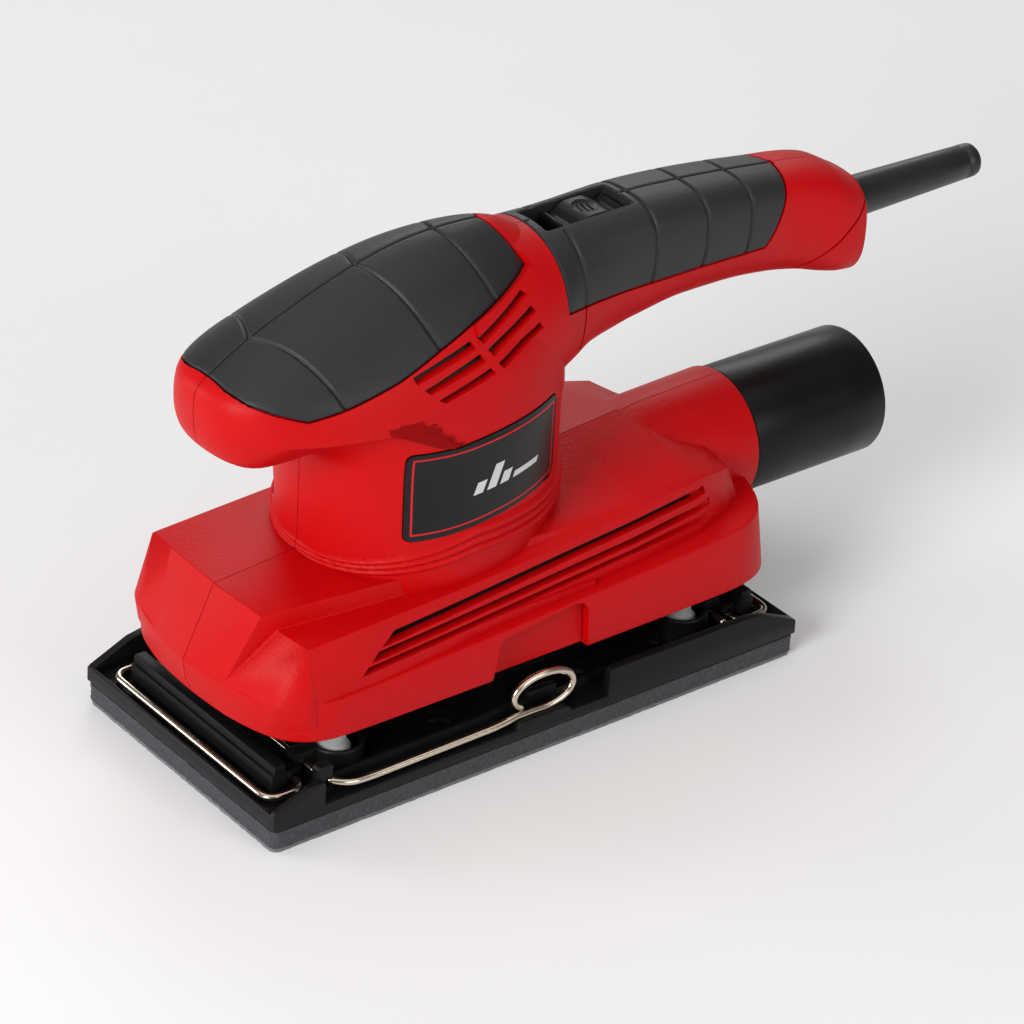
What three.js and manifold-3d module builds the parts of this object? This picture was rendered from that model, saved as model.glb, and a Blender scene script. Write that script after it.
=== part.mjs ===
// Orbital finishing sander: rectangular pad, clamshell housing, top handle and dust outlet.
// Millimetres, +Z up. The origin is the centre of the sanding face; the nose points along -X,
// the handle and the dust outlet along +X. The left half lies on the -Y side.
import * as THREE from "three";
import { ConvexGeometry } from "three/addons/geometries/ConvexGeometry.js";
import { mergeVertices } from "three/addons/utils/BufferGeometryUtils.js";
import Module from "manifold-3d";

const wasm = await Module();
wasm.setup();

// ---- driving dimensions ----
const FIT = 0.3; // gap between pieces that touch
const PAD_LENGTH = 187;
const PAD_WIDTH = 92;
const HOOK = 1.2; // thickness of the hook layer under the foam
const FOAM = 5.3;
const PLATE = 3; // floor of the base plate
const RIM_HEIGHT = 3.2; // low rim above the plate's underside
const WALL_HEIGHT = 12.2; // high side walls above the plate's underside
const ORBIT_RADIUS = 1; // the pad orbits on a 2 mm circle
const MOTOR_X = -11;
const WALL = 3; // thickness of the plastic housing
const SKIRT_BOTTOM = 27;
const BAND_FRONT = 38.2; // top of the skirt's lower band at the nose end
const BAND_REAR = 48.2;
const CREST = 59.7; // top of the skirt's front face
const SPINE_REAR = 71.5; // where the skirt's roof meets the dust port
const COLUMN_FRONT = -55.2;
const COLUMN_REAR = 29.5;
const COLUMN_HALF = 34.4;
const NOSE_X = -92.1;
const HEAD_TOP = 149.5;
const HANDLE_TOP = 142.9;
const HANDLE_HALF = 15.5;
const HANDLE_END = 141;
const GRIP = 1.6; // thickness of the soft overmould
const GRIP_FRONT = 18.3;
const GRIP_REAR = 106;
const PORT_Z = 52.2;
const PORT_END = PAD_LENGTH / 2 + 3.5;
const PORT_BORE = 17.8;
const PORT_WALL = 2.9;
const TUBE_RADIUS = 19.6;
const TUBE_WALL = 2.2;
const TUBE_END = PORT_END + 50.5;
const SPIGOT = 24; // how far the dust tube pushes into the port
const WIRE = 1.1; // radius of the clamp wires
const AXLE_X = PAD_LENGTH / 2 - 21.1; // clamp lever's axle, from the pad's centre
const AXLE_Z = 13.8;
const JAW_X = PAD_LENGTH / 2 - 3.5;
const JAW_PIN_X = JAW_X - 12; // the jaw's two pins, from the pad's centre
const JAW_Z = 12.2;
const LEVER_Y = 43.9;
const LEG_X = 62;
const LEG_Y = 29;
const LEG_RADIUS = 5.2;
const LEG_TOP = 33;
const LEG_PLAY = 1.7; // room for the orbit between a leg and its socket
const SLEEVE_Z = 117.5;
const SLEEVE_END = 191;
const CORD_RADIUS = 3.6; // bore of the cord sleeve
const SCREW = 1.9; // radius of a housing screw
const SCREW_HEAD = 3.8;
const CLAMP_SCREW_Y = 5.6;
const SLIDER_LENGTH = 23;
const SLIDER_TRAVEL = 7;
const SLOT_HALF = 6.8; // half width of the switch opening
const SLOT_FRONT = 21.5;
const SHAFT = 5; // radius of the motor shaft
const ROTOR = 15.8;
const AIR_GAP = 0.5;
const STATOR = 26;
const FAN = 29;
const PAD_BEARING = 14;
const LOWER_BEARING = 16;
const UPPER_BEARING = 11;

// ---- derived places ----
const padHalfX = PAD_LENGTH / 2;
const padHalfY = PAD_WIDTH / 2;
const foamTop = HOOK + FOAM + 2 * FIT;
const plateBottom = foamTop + FIT;
const plateTop = plateBottom + PLATE;
const wallTop = plateBottom + WALL_HEIGHT;
const padAxisX = MOTOR_X + ORBIT_RADIUS;
const portRadius = PORT_BORE + PORT_WALL;
const slotRear = SLOT_FRONT + SLIDER_TRAVEL + SLIDER_LENGTH + 2 * FIT;
const skirtHalf = padHalfY - 4;
const slope = (CREST - SPINE_REAR) / (-82.8 - 58.4);
const spineAt = (x) => CREST + slope * (x + 82.8);

// ---- colours ----
const red = { color: 0xc8060c, roughness: 0.42, metalness: 0 };
const softGrip = { color: 0x2c2d30, roughness: 0.8, metalness: 0 };
const blackPlastic = { color: 0x131314, roughness: 0.45, metalness: 0 };
const blackRubber = { color: 0x17181a, roughness: 0.6, metalness: 0 };
const foamGrey = { color: 0x26272a, roughness: 0.95, metalness: 0 };
const clearRubber = { color: 0xb9bcb8, roughness: 0.5, metalness: 0 };
const steel = { color: 0xb8b4ac, roughness: 0.28, metalness: 1 };
const darkSteel = { color: 0x63656a, roughness: 0.4, metalness: 1 };
const copper = { color: 0xb0652f, roughness: 0.35, metalness: 1 };
const brass = { color: 0xc7a253, roughness: 0.35, metalness: 1 };
const carbon = { color: 0x2a2a2c, roughness: 0.7, metalness: 0 };
const zinc = { color: 0x8d8f92, roughness: 0.45, metalness: 1 };
const blueFilm = { color: 0x2b4a9a, roughness: 0.4, metalness: 0 };

// ---- solids ----
// A closed three.js geometry as a solid, turned so that its faces point out.
function solid(geometry) {
  const bare = geometry.clone();
  for (const name of Object.keys(bare.attributes)) {
    if (name !== "position") bare.deleteAttribute(name);
  }
  const merged = mergeVertices(bare, 1e-4);
  const positions = new Float32Array(merged.attributes.position.array);
  const faces = [];
  const index = merged.index.array;
  for (let i = 0; i < index.length; i += 3) {
    const [a, b, c] = [index[i], index[i + 1], index[i + 2]];
    if (a !== b && b !== c && c !== a) faces.push(a, b, c);
  }
  const make = (triangles) =>
    new wasm.Manifold(
      new wasm.Mesh({ numProp: 3, vertProperties: positions, triVerts: new Uint32Array(triangles) }),
    );
  const made = make(faces);
  if (made.volume() > 0) return made;
  const turned = [];
  for (let i = 0; i < faces.length; i += 3) turned.push(faces[i], faces[i + 2], faces[i + 1]);
  return make(turned);
}

function union(...pieces) {
  return pieces.flat().reduce((whole, piece) => whole.add(piece));
}

function box(x0, x1, y0, y1, z0, z1) {
  const shape = new THREE.BoxGeometry(x1 - x0, y1 - y0, z1 - z0);
  shape.translate((x0 + x1) / 2, (y0 + y1) / 2, (z0 + z1) / 2);
  return solid(shape);
}

// A round bar between two points.
function bar(from, to, radius, sides = 24, radiusTo = radius) {
  const start = new THREE.Vector3(...from);
  const along = new THREE.Vector3(...to).sub(start);
  const shape = new THREE.CylinderGeometry(radiusTo, radius, along.length(), sides);
  shape.translate(0, along.length() / 2, 0);
  const turn = new THREE.Quaternion().setFromUnitVectors(
    new THREE.Vector3(0, 1, 0),
    along.clone().normalize(),
  );
  shape.applyQuaternion(turn);
  shape.translate(...from);
  return solid(shape);
}

// A ring of the given section, turned round the vertical line through (x, y).
function ring(x, y, inner, outer, z0, z1, sides = 32) {
  const section = [
    [inner, z0],
    [outer, z0],
    [outer, z1],
    [inner, z1],
    [inner, z0],
  ].map(([r, z]) => new THREE.Vector2(r, z));
  const shape = new THREE.LatheGeometry(section, sides);
  shape.rotateX(Math.PI / 2);
  shape.translate(x, y, 0);
  return solid(shape);
}

// An outline in the X-Z plane, pushed out along Y.
function sideProfile(points, y0, y1) {
  const outline = new THREE.Shape(points.map(([x, z]) => new THREE.Vector2(x, z)));
  const shape = new THREE.ExtrudeGeometry(outline, { depth: y1 - y0, bevelEnabled: false });
  shape.rotateX(Math.PI / 2);
  shape.translate(0, y1, 0);
  return solid(shape);
}

// An outline in the X-Y plane, pushed up along Z.
function planProfile(points, z0, z1) {
  const outline = new THREE.Shape(points.map(([x, y]) => new THREE.Vector2(x, y)));
  const shape = new THREE.ExtrudeGeometry(outline, { depth: z1 - z0, bevelEnabled: false });
  shape.translate(0, 0, z0);
  return solid(shape);
}

function hull(points) {
  return solid(new ConvexGeometry(points.map((p) => new THREE.Vector3(...p))));
}

// A round wire along straight stretches joined by bends of the given radius.
function wire(points, radius, bend, sides = 6) {
  const corners = points.map((p) => new THREE.Vector3(...p));
  const path = new THREE.CurvePath();
  let last = corners[0];
  for (let i = 1; i < corners.length - 1; i++) {
    const into = corners[i - 1].clone().sub(corners[i]);
    const out = corners[i + 1].clone().sub(corners[i]);
    const cut = Math.min(bend, into.length() * 0.49, out.length() * 0.49);
    const a = corners[i].clone().addScaledVector(into.normalize(), cut);
    const b = corners[i].clone().addScaledVector(out.normalize(), cut);
    path.add(new THREE.LineCurve3(last, a));
    path.add(new THREE.QuadraticBezierCurve3(a, corners[i], b));
    last = b;
  }
  path.add(new THREE.LineCurve3(last, corners.at(-1)));
  const smooth = new THREE.CatmullRomCurve3(wirePoints(path), false, "centripetal");
  const section = new THREE.Shape();
  section.absarc(0, 0, radius, 0, 2 * Math.PI);
  const shape = new THREE.ExtrudeGeometry(section, {
    steps: Math.max(12, Math.round(smooth.getLength() / (7 * radius))),
    curveSegments: sides / 2,
    bevelEnabled: false,
    extrudePath: smooth,
  });
  return solid(shape);
}

// Points along a wire's path: the ends of its straight stretches and four on each bend.
function wirePoints(path) {
  const points = [];
  for (const curve of path.curves) {
    const count = curve.isLineCurve3 ? Math.max(1, Math.round(curve.getLength() / 8)) : 4;
    const steps = curve.getPoints(count);
    points.push(...(points.length ? steps.slice(1) : steps));
  }
  return points;
}

// Rings of equal length, skinned from the first to the last and capped.
function loft(rings) {
  const count = rings[0].length;
  const positions = rings.flat().flatMap((p) => [p.x, p.y, p.z]);
  const index = [];
  for (let k = 0; k + 1 < rings.length; k++) {
    for (let i = 0; i < count; i++) {
      const a = k * count + i;
      const b = k * count + ((i + 1) % count);
      index.push(a, b, b + count, a, b + count, a + count);
    }
  }
  const top = (rings.length - 1) * count;
  for (let i = 1; i + 1 < count; i++) {
    index.push(0, i + 1, i, top, top + i, top + i + 1);
  }
  const shape = new THREE.BufferGeometry();
  shape.setAttribute("position", new THREE.Float32BufferAttribute(positions, 3));
  shape.setIndex(index);
  return solid(shape);
}

function mirrorY(piece) {
  return piece.mirror([0, 1, 0]);
}

function turnHalf(piece) {
  return piece.rotate([0, 0, 180]);
}

const cos = (t, n) => Math.sign(Math.cos(t)) * Math.abs(Math.cos(t)) ** (2 / n);
const sin = (t, n) => Math.sign(Math.sin(t)) * Math.abs(Math.sin(t)) ** (2 / n);
const everything = 400;
const halfSpace = (side) =>
  side < 0
    ? box(-everything, everything, -everything, -FIT / 2, -everything, everything)
    : box(-everything, everything, FIT / 2, everything, -everything, everything);

// ---- outer form ----
// The head and column as level outlines: height, front, rear, half width, widest place, squareness,
// and which way the outline moves when the skin is set inwards (+1 up, -1 down).
function headOutlines() {
  const c = COLUMN_HALF;
  const rise = HEAD_TOP - 149.5;
  return [
    [58, COLUMN_FRONT, COLUMN_REAR, c, -19, 2.15, 0],
    [96, COLUMN_FRONT + 1, COLUMN_REAR, c, -19, 2.15, 0],
    [100.5, COLUMN_FRONT - 2, COLUMN_REAR, c, -19, 2.2, 1],
    [103.5, NOSE_X + 7, COLUMN_REAR, c - 0.6, -24, 2.4, 1],
    [106, NOSE_X + 2, COLUMN_REAR - 0.5, c - 1, -26, 2.4, 1],
    [111, NOSE_X + 0.5, COLUMN_REAR - 1, c - 1.6, -28, 2.45, 0],
    [116.5, NOSE_X, COLUMN_REAR - 1.5, c - 2.6, -28, 2.5, 0],
    [121.5, NOSE_X + 1, COLUMN_REAR - 3, c - 4.4, -28, 2.5, -1],
    [124.5 + rise, NOSE_X + 4.2, COLUMN_REAR - 4.5, c - 6, -28, 2.4, -1],
    [128.5 + rise, NOSE_X + 10, COLUMN_REAR - 7, c - 8.4, -26, 2.3, -1],
    [133 + rise, NOSE_X + 18.6, COLUMN_REAR - 10.5, c - 11.5, -24, 2.2, -1],
    [138.5 + rise, NOSE_X + 32, COLUMN_REAR - 15, c - 15.6, -21, 2.1, -1],
    [142.5 + rise, NOSE_X + 42.5, COLUMN_REAR - 18, c - 19.4, -18, 2, -1],
    [145.6 + rise, NOSE_X + 53, COLUMN_REAR - 21, c - 23.5, -15, 2, -1],
    [148 + rise, NOSE_X + 66.5, COLUMN_REAR - 25, c - 28, -12, 2, -1],
    [149.5 + rise, NOSE_X + 77, COLUMN_REAR - 33, c - 31.8, -9, 2, -1],
  ];
}

function headForm(inset, sides = 24) {
  const rings = headOutlines().map(([z, front, rear, half, middle, n, way]) => {
    const level = z + inset * way;
    const outline = [];
    for (let i = 0; i < sides; i++) {
      const t = ((i + 0.5) / sides) * 2 * Math.PI;
      const reach = Math.cos(t) > 0 ? rear - middle - inset : middle - front - inset;
      const x = middle + Math.max(reach, 0.6) * cos(t, n);
      outline.push(new THREE.Vector3(x, Math.max(half - inset, 0.5) * sin(t, n), level));
    }
    return outline;
  });
  return loft(rings);
}

// The handle as upright outlines: place, top, bottom, half width.
function handleOutlines() {
  const h = HANDLE_HALF;
  const end = HANDLE_END - 141;
  return [
    [-4, HANDLE_TOP + 3.4, 92, h + 11.5],
    [8, HANDLE_TOP + 1.4, 92, h + 9.5],
    [GRIP_FRONT, HANDLE_TOP, 92, h + 6.6],
    [27, HANDLE_TOP, 93, h + 3.9],
    [36, HANDLE_TOP, 97.5, h + 1.7],
    [45, HANDLE_TOP, 101.5, h + 0.5],
    [55, HANDLE_TOP - 0.1, 104, h],
    [74.5, HANDLE_TOP - 1.4, 106.3, h - 0.7],
    [92, HANDLE_TOP - 3.1, 106, h - 1.6],
    [GRIP_REAR, HANDLE_TOP - 5, 104.4, h - 2],
    [118 + end, HANDLE_TOP - 7, 102.4, h - 1.2],
    [128 + end, HANDLE_TOP - 9, 99.6, h - 0.1],
    [134 + end, HANDLE_TOP - 11.5, 98.2, h - 1.2],
    [138.5 + end, HANDLE_TOP - 14.5, 98.6, h - 4.5],
    [HANDLE_END, HANDLE_TOP - 17.5, 101, h - 8.5],
  ];
}

function handleForm(inset, sides = 18) {
  const last = handleOutlines().length - 1;
  const rings = handleOutlines().map(([x, top, bottom, half], k) => {
    const middle = (top + bottom) / 2;
    const outline = [];
    for (let i = 0; i < sides; i++) {
      const t = ((i + 0.5) / sides) * 2 * Math.PI;
      const y = (half - inset) * cos(t, 2.6);
      const z = middle + ((top - bottom) / 2 - inset) * sin(t, 2.6);
      outline.push(new THREE.Vector3(k === last ? x - inset : x, y, z));
    }
    return outline;
  });
  return loft(rings);
}

// The skirt's outline at the foot of its band, from the nose round the left side to the rear.
function skirtOutline(grow) {
  const front = -padHalfX + 3.7 - grow;
  const rear = padHalfX + 3 + grow;
  const half = skirtHalf + grow;
  return [
    [front, 0],
    [front + 0.6, 13.5],
    [front + 2.8, 25],
    [front + 6.4, 33.7],
    [front + 10.3, half - 4],
    [front + 15, half - 1.6],
    [front + 21, half],
    [rear - 36, half],
    [rear - 19, half - 1.2],
    [rear - 11.5, half - 4],
    [rear - 7, half - 8.6],
    [rear - 3.4, half - 17],
    [rear - 1, half - 27],
    [rear, 0],
  ];
}

const bandTopAt = (x) => BAND_FRONT + ((BAND_REAR - BAND_FRONT) * (x + 92.6)) / 187;
const bothSides = (points) => points.flatMap(([x, y, z]) => [[x, y, z], [x, -y, z]]);

function bandForm(inset) {
  const low = skirtOutline(-inset).map(([x, y]) => [x, y, SKIRT_BOTTOM]);
  const high = skirtOutline(-inset).map(([x, y]) => {
    const lean = x < -padHalfX + 30 ? 2.6 : 0;
    return [x - lean, y - 0.4, bandTopAt(x) - inset * 0.8];
  });
  return hull(bothSides([...low, ...high]));
}

// The upper skirt: a low body with flat shoulders, a raised wedge at the nose and a ridged roof.
function roofForm(inset) {
  const foot = skirtOutline(-inset)
    .slice(0, 6)
    .map(([x, y]) => [x - 2.6, y - 0.4, bandTopAt(x) - inset * 2]);
  const taper = skirtHalf - 1;
  const sink = inset > 0 ? 2 * inset : 0; // the hollow reaches down into the band's hollow
  const low = hull(
    bothSides([
      ...foot,
      [-60 + inset, taper - 0.5 - inset, 40 - sink],
      [62, taper - 6 - inset, 46 - sink],
      [80 - inset, taper - 12 - inset, 47 - sink],
      [86 - inset, 24 - inset, 47 - sink],
      [90 - inset, 0, 47 - sink],
      [-77 + inset, 22, 54.8 - inset],
      [-77 + inset, taper - 4 - inset, 55.6 - inset],
      [62, taper - 8.6 - inset, 62.6 - inset],
      [74 - inset, taper - 11 - inset, 62.4 - inset],
      [80.5 - inset, 25.4 - inset, 60 - inset],
      [79 - inset, 13, 63 - inset],
    ]),
  );
  const wedge = hull(
    bothSides([
      [-82.8 + inset, 21.6 - inset, CREST - inset],
      [-92.2 + inset, 16 - inset, BAND_FRONT - sink],
      [-92.6 + inset, 0, BAND_FRONT - sink],
      [-36, 27.8 - inset, CREST + 0.4 - inset],
      [8, 29 - inset, CREST + 1 - inset],
      [8, 29 - inset, 45 - sink],
      [-82.8 + inset, 0, CREST - inset],
    ]),
  );
  const roof = hull(
    bothSides([
      [-40, 0, spineAt(-40) - inset],
      [58.4, 0, SPINE_REAR - inset],
      [-20, 29 - inset, CREST + 0.6 - inset],
      [62, taper - 8.6 - inset, 62.6 - inset],
      [69.7 - inset, 28.8 - inset, 63.6 - inset],
      [64.5, 14, 66.6 - inset],
      [79 - inset, 13, 63 - inset],
      [-20, 29 - inset, 45 - sink],
      [80 - inset, 20, 45 - sink],
    ]),
  );
  return union(low, wedge, roof);
}

function portForm(radius, x0, x1) {
  return bar([x0, 0, PORT_Z], [x1, 0, PORT_Z], radius, 24);
}

// ---- regions of the soft grips, name plates and vents, seen from the side ----
function headGripRegion(gap) {
  return sideProfile(
    [
      [NOSE_X - 4, 127.3 + gap],
      [NOSE_X + 4.3, 124.7 + gap],
      [-71.2, 118.6 + gap],
      [-43, 124.2 + gap],
      [-18.4, 130.8 + gap],
      [5.4 - gap, 136.8 + gap],
      [9.6 - gap, 138.4 + gap],
      [1.6 - gap, 152],
      [NOSE_X - 4, 152],
    ],
    -60,
    60,
  );
}

function handleGripRegion(gap) {
  return sideProfile(
    [
      [GRIP_FRONT + gap, 124.2 + gap],
      [55, 119.7 + gap],
      [99 - gap, 117.8 + gap],
      [103.5 - gap, 126],
      [GRIP_REAR - gap, 134],
      [GRIP_REAR - gap, 150],
      [GRIP_FRONT + gap, 150],
    ],
    -60,
    60,
  );
}

function plateRegion(gap) {
  return sideProfile(
    [
      [-40.5 + gap, 73.5 + gap],
      [15.5 - gap, 78.5 + gap],
      [16.5 - gap, 104 - gap],
      [-40.8 + gap, 100.8 - gap],
    ],
    -60,
    60,
  );
}

// One slanted vent slot, cut from side to side outside the motor.
function slot(x0, z0, x1, z1, height) {
  const outline = [[x0, z0], [x1, z1], [x1 + 0.4, z1 + height], [x0 + 0.4, z0 + height]];
  return union(sideProfile(outline, -60, -16), sideProfile(outline, 16, 60));
}

function vents() {
  const cuts = [];
  for (let row = 0; row < 3; row++) {
    const x = 3 * row;
    const z = -3.3 * row;
    cuts.push(slot(-39 + x, 121.4 + z, -20 + x, 125.6 + z, 1.9));
    cuts.push(slot(-17.5 + x, 126.8 + z, 0.5 + x * 0.7, 133 + z * 1.2, 1.9));
  }
  return union(cuts);
}

function louvres() {
  const cuts = [];
  for (let row = 0; row < 3; row++) {
    const x = -52 - 4 * row;
    const z = 51.2 - 4.2 * row;
    cuts.push(slot(x, z, 24, z + 5.4 + row * 0.3, 2));
  }
  return union(cuts);
}

// Finger notch in the skirt's band, over the loop of a clamp lever.
function notch(side) {
  const y0 = skirtHalf - 3.6;
  const cut = hull([
    [-17, y0, SKIRT_BOTTOM - 1],
    [17, y0, SKIRT_BOTTOM - 1],
    [-14, y0, BAND_FRONT + 1.5],
    [16, y0, BAND_FRONT + 4],
    [-17, y0 + 9, SKIRT_BOTTOM - 1],
    [17, y0 + 9, SKIRT_BOTTOM - 1],
    [-14, y0 + 9, BAND_FRONT + 1.5],
    [16, y0 + 9, BAND_FRONT + 4],
  ]);
  return side < 0 ? mirrorY(cut) : cut;
}

// ---- housing ----
// Where the clamshell screws sit: place along X, height, and the skirt or body they cross.
function screwPlaces() {
  return [
    ["nose", NOSE_X + 13, 112],
    ["column_front", COLUMN_FRONT + 7.5, 72],
    ["column_rear", COLUMN_REAR - 7, 84],
    ["handle_front", 62, 111.5],
    ["handle_rear", 112, 109.5],
    ["skirt_front", -66, 46],
    ["skirt_rear", 46, 44],
  ];
}

function outerForm() {
  return union(
    headForm(0),
    handleForm(0),
    bandForm(0),
    roofForm(0),
    portForm(portRadius, 50, PORT_END),
    bar([HANDLE_END - 6, 0, SLEEVE_Z], [HANDLE_END + 1.4, 0, SLEEVE_Z], 8.6, 24),
  );
}

function innerForm() {
  return union(
    headForm(WALL, 16),
    handleForm(WALL, 10),
    bandForm(WALL),
    box(-padHalfX + 12, padHalfX - 22, -skirtHalf + 9, skirtHalf - 9, SKIRT_BOTTOM - 3, 40),
    roofForm(WALL),
    portForm(PORT_BORE, 52, PORT_END + 5),
  );
}

// Level webs across the column that hold the two bearings and the stator.
function webs(reach) {
  const column = [
    [51, 57, LOWER_BEARING],
    [69, 72, STATOR],
    [92, 95, STATOR],
    [122, 127, UPPER_BEARING],
  ];
  return column.map(([z0, z1, hole]) =>
    box(-60, 30, -40, 40, z0, z1)
      .intersect(reach)
      .subtract(bar([MOTOR_X, 0, z0 - 1], [MOTOR_X, 0, z1 + 1], hole + FIT + 0.3, 16)),
  );
}

function housingParts() {
  const outer = outerForm();
  const inner = innerForm();
  let shell = outer.subtract(inner);
  const bosses = screwPlaces().map(([, x, z]) => bar([x, -60, z], [x, 60, z], SCREW + 2.4, 10));
  shell = shell.add(union(bosses).intersect(outer));
  shell = shell.add(union(webs(headForm(WALL / 2))));
  shell = shell.add(sleeveSeat().intersect(outer));
  shell = shell.add(legSockets().intersect(outer));
  shell = shell
    .subtract(headGripRegion(0).intersect(headForm(-3)).subtract(headForm(GRIP + FIT)))
    .subtract(handleGripRegion(0).intersect(handleForm(-3)).subtract(handleForm(GRIP + FIT)))
    .subtract(plateRegion(0).intersect(headForm(-3)).subtract(headForm(0.9)))
    .subtract(vents())
    .subtract(louvres())
    .subtract(notch(-1))
    .subtract(notch(1))
    .subtract(box(SLOT_FRONT, slotRear, -SLOT_HALF, SLOT_HALF, 118, 160))
    .subtract(sleeveBore());
  for (const [, x, z] of screwPlaces()) shell = shell.subtract(screwHole(x, z, outer));
  return [cleanHalf(shell, -1), cleanHalf(shell, 1)];
}

// The largest body of one half; slivers that a cut leaves loose fall away.
function cleanHalf(shell, side) {
  const bodies = shell.intersect(halfSpace(side)).decompose();
  return bodies.sort((a, b) => b.volume() - a.volume())[0];
}

// Half thickness of the housing at a screw, on the right side.
function screwDepth(x, z, outer) {
  const core = bar([x, 0, z], [x, 60, z], 0.5, 8).intersect(outer);
  return core.boundingBox().max[1];
}

function screwHole(x, z, outer) {
  const seat = screwDepth(x, z, outer) - 6;
  return union(
    bar([x, -seat + 4, z], [x, seat + 1, z], SCREW + FIT, 8),
    bar([x, seat, z], [x, 70, z], SCREW_HEAD + FIT, 12),
  );
}

function screw(x, z, outer) {
  const seat = screwDepth(x, z, outer) - 6 + FIT;
  const head = bar([x, seat, z], [x, seat + 2.4, z], SCREW_HEAD, 12);
  const shank = bar([x, Math.max(seat - 26, -seat + 6), z], [x, seat + 1, z], SCREW, 8);
  const slotCut = box(x - 2.2, x + 2.2, seat + 1.2, seat + 4, z - 0.45, z + 0.45);
  return head.add(shank).subtract(slotCut);
}

// ---- cord sleeve and its clamp ----
const sleeveRoot = 6.9;
const sleeveTip = 5.2;
const flangeX = HANDLE_END - 13;

function sleeveSeat() {
  const x0 = flangeX - 3;
  return box(x0, HANDLE_END, -30, 30, 90, 150);
}

function sleeveBore() {
  return union(
    bar([flangeX - 4, 0, SLEEVE_Z], [HANDLE_END + 5, 0, SLEEVE_Z], sleeveRoot + FIT, 24),
    bar([flangeX - FIT, 0, SLEEVE_Z], [flangeX + 3 + FIT, 0, SLEEVE_Z], sleeveRoot + 2.6 + FIT, 24),
  );
}

function cordSleeve() {
  const outside = union(
    bar([flangeX - 3, 0, SLEEVE_Z], [HANDLE_END + 2, 0, SLEEVE_Z], sleeveRoot, 24),
    bar([HANDLE_END + 2, 0, SLEEVE_Z], [SLEEVE_END, 0, SLEEVE_Z], sleeveRoot, 24, sleeveTip),
    bar([flangeX, 0, SLEEVE_Z], [flangeX + 3, 0, SLEEVE_Z], sleeveRoot + 2.6, 24),
  );
  return outside.subtract(
    bar([flangeX - 5, 0, SLEEVE_Z], [SLEEVE_END + 2, 0, SLEEVE_Z], CORD_RADIUS, 20),
  );
}

function cordClamp() {
  const x = flangeX - 12;
  const body = box(x - 4.5, x + 4.5, -9, 9, SLEEVE_Z + 4.2, SLEEVE_Z + 7.4);
  const saddle = bar([x - 5, 0, SLEEVE_Z], [x + 5, 0, SLEEVE_Z], CORD_RADIUS + 1.4, 20);
  const holes = [-CLAMP_SCREW_Y, CLAMP_SCREW_Y].map((y) =>
    bar([x, y, SLEEVE_Z], [x, y, SLEEVE_Z + 9], SCREW + FIT, 12),
  );
  return body.subtract(saddle).subtract(union(holes));
}

function clampScrew(y) {
  const x = flangeX - 12;
  const seat = SLEEVE_Z + 7.4 + FIT;
  return union(
    bar([x, y, seat], [x, y, seat + 2], SCREW_HEAD - 0.8, 12),
    bar([x, y, SLEEVE_Z - 1], [x, y, seat + 1], SCREW, 12),
  );
}

// ---- grips and name plates ----
function headGrip(side) {
  return headGripRegion(FIT)
    .intersect(headForm(0))
    .subtract(headForm(GRIP))
    .subtract(handleForm(0).intersect(box(5, 60, -60, 60, 0, 200)))
    .intersect(halfSpace(side));
}

function handleGrip(side) {
  return handleGripRegion(FIT)
    .intersect(handleForm(0))
    .subtract(handleForm(GRIP))
    .subtract(headForm(FIT))
    .subtract(box(SLOT_FRONT, slotRear, -SLOT_HALF, SLOT_HALF, 118, 160))
    .intersect(halfSpace(side));
}

function namePlate(side) {
  return plateRegion(FIT)
    .intersect(headForm(-0.1))
    .subtract(headForm(0.6))
    .intersect(halfSpace(side));
}

// ---- switch ----
function switchSlider() {
  const x0 = SLOT_FRONT + SLIDER_TRAVEL + FIT;
  const x1 = x0 + SLIDER_LENGTH;
  const half = SLOT_HALF - FIT;
  const top = HANDLE_TOP - 0.6;
  const body = sideProfile(
    [
      [x0, top - 5],
      [x0 + 1, top - 1.2],
      [x0 + 5, top - 2.6],
      [x0 + 9, top],
      [x0 + 14, top],
      [x0 + 18, top - 2.6],
      [x1 - 1, top - 1.2],
      [x1, top - 5],
    ],
    -half,
    half,
  );
  const ribs = [-1.8, 0, 1.8].map((d) =>
    box(x0 + 11.2 + d, x0 + 12 + d, -2.6, 2.6, top - 0.2, top + 0.4),
  );
  const stem = box(x0 + 8, x0 + 15, -3, 3, top - 12, top - 4.9);
  return union(body, stem, ribs);
}

function switchModule() {
  const x0 = SLOT_FRONT + 2;
  const body = box(x0, slotRear - 2, -8.5, 8.5, 114, 128.6);
  const x1 = SLOT_FRONT + 8;
  const top = HANDLE_TOP - 0.6;
  const slide = box(x1 - FIT, x1 + 7 + SLIDER_TRAVEL + FIT, -3 - FIT, 3 + FIT, top - 12 - FIT, 140);
  return body.add(box(x0 + 3, x0 + 6, -7, 7, 112, 114.1)).subtract(slide);
}

// ---- motor ----
function wedgePrism(halfAngle, facing, z0, z1) {
  const reach = 60;
  const a = facing - halfAngle;
  const b = facing + halfAngle;
  const corner = (t) => [MOTOR_X + reach * Math.cos(t), reach * Math.sin(t)];
  return planProfile([[MOTOR_X, 0], corner(a), corner((a + b) / 2), corner(b)], z0, z1);
}

const stackLow = 64;
const stackHigh = 100;
const poleHalfAngle = 0.62;

function statorCore() {
  const shoe = ROTOR + AIR_GAP;
  const yoke = ring(MOTOR_X, 0, STATOR - 4.8, STATOR, stackLow, stackHigh, 24);
  const poles = [1, -1].map((side) =>
    ring(MOTOR_X, 0, shoe, STATOR - 4.4, stackLow, stackHigh, 24).intersect(
      wedgePrism(poleHalfAngle, (side * Math.PI) / 2, stackLow - 1, stackHigh + 1),
    ),
  );
  return union(yoke, poles);
}

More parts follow.
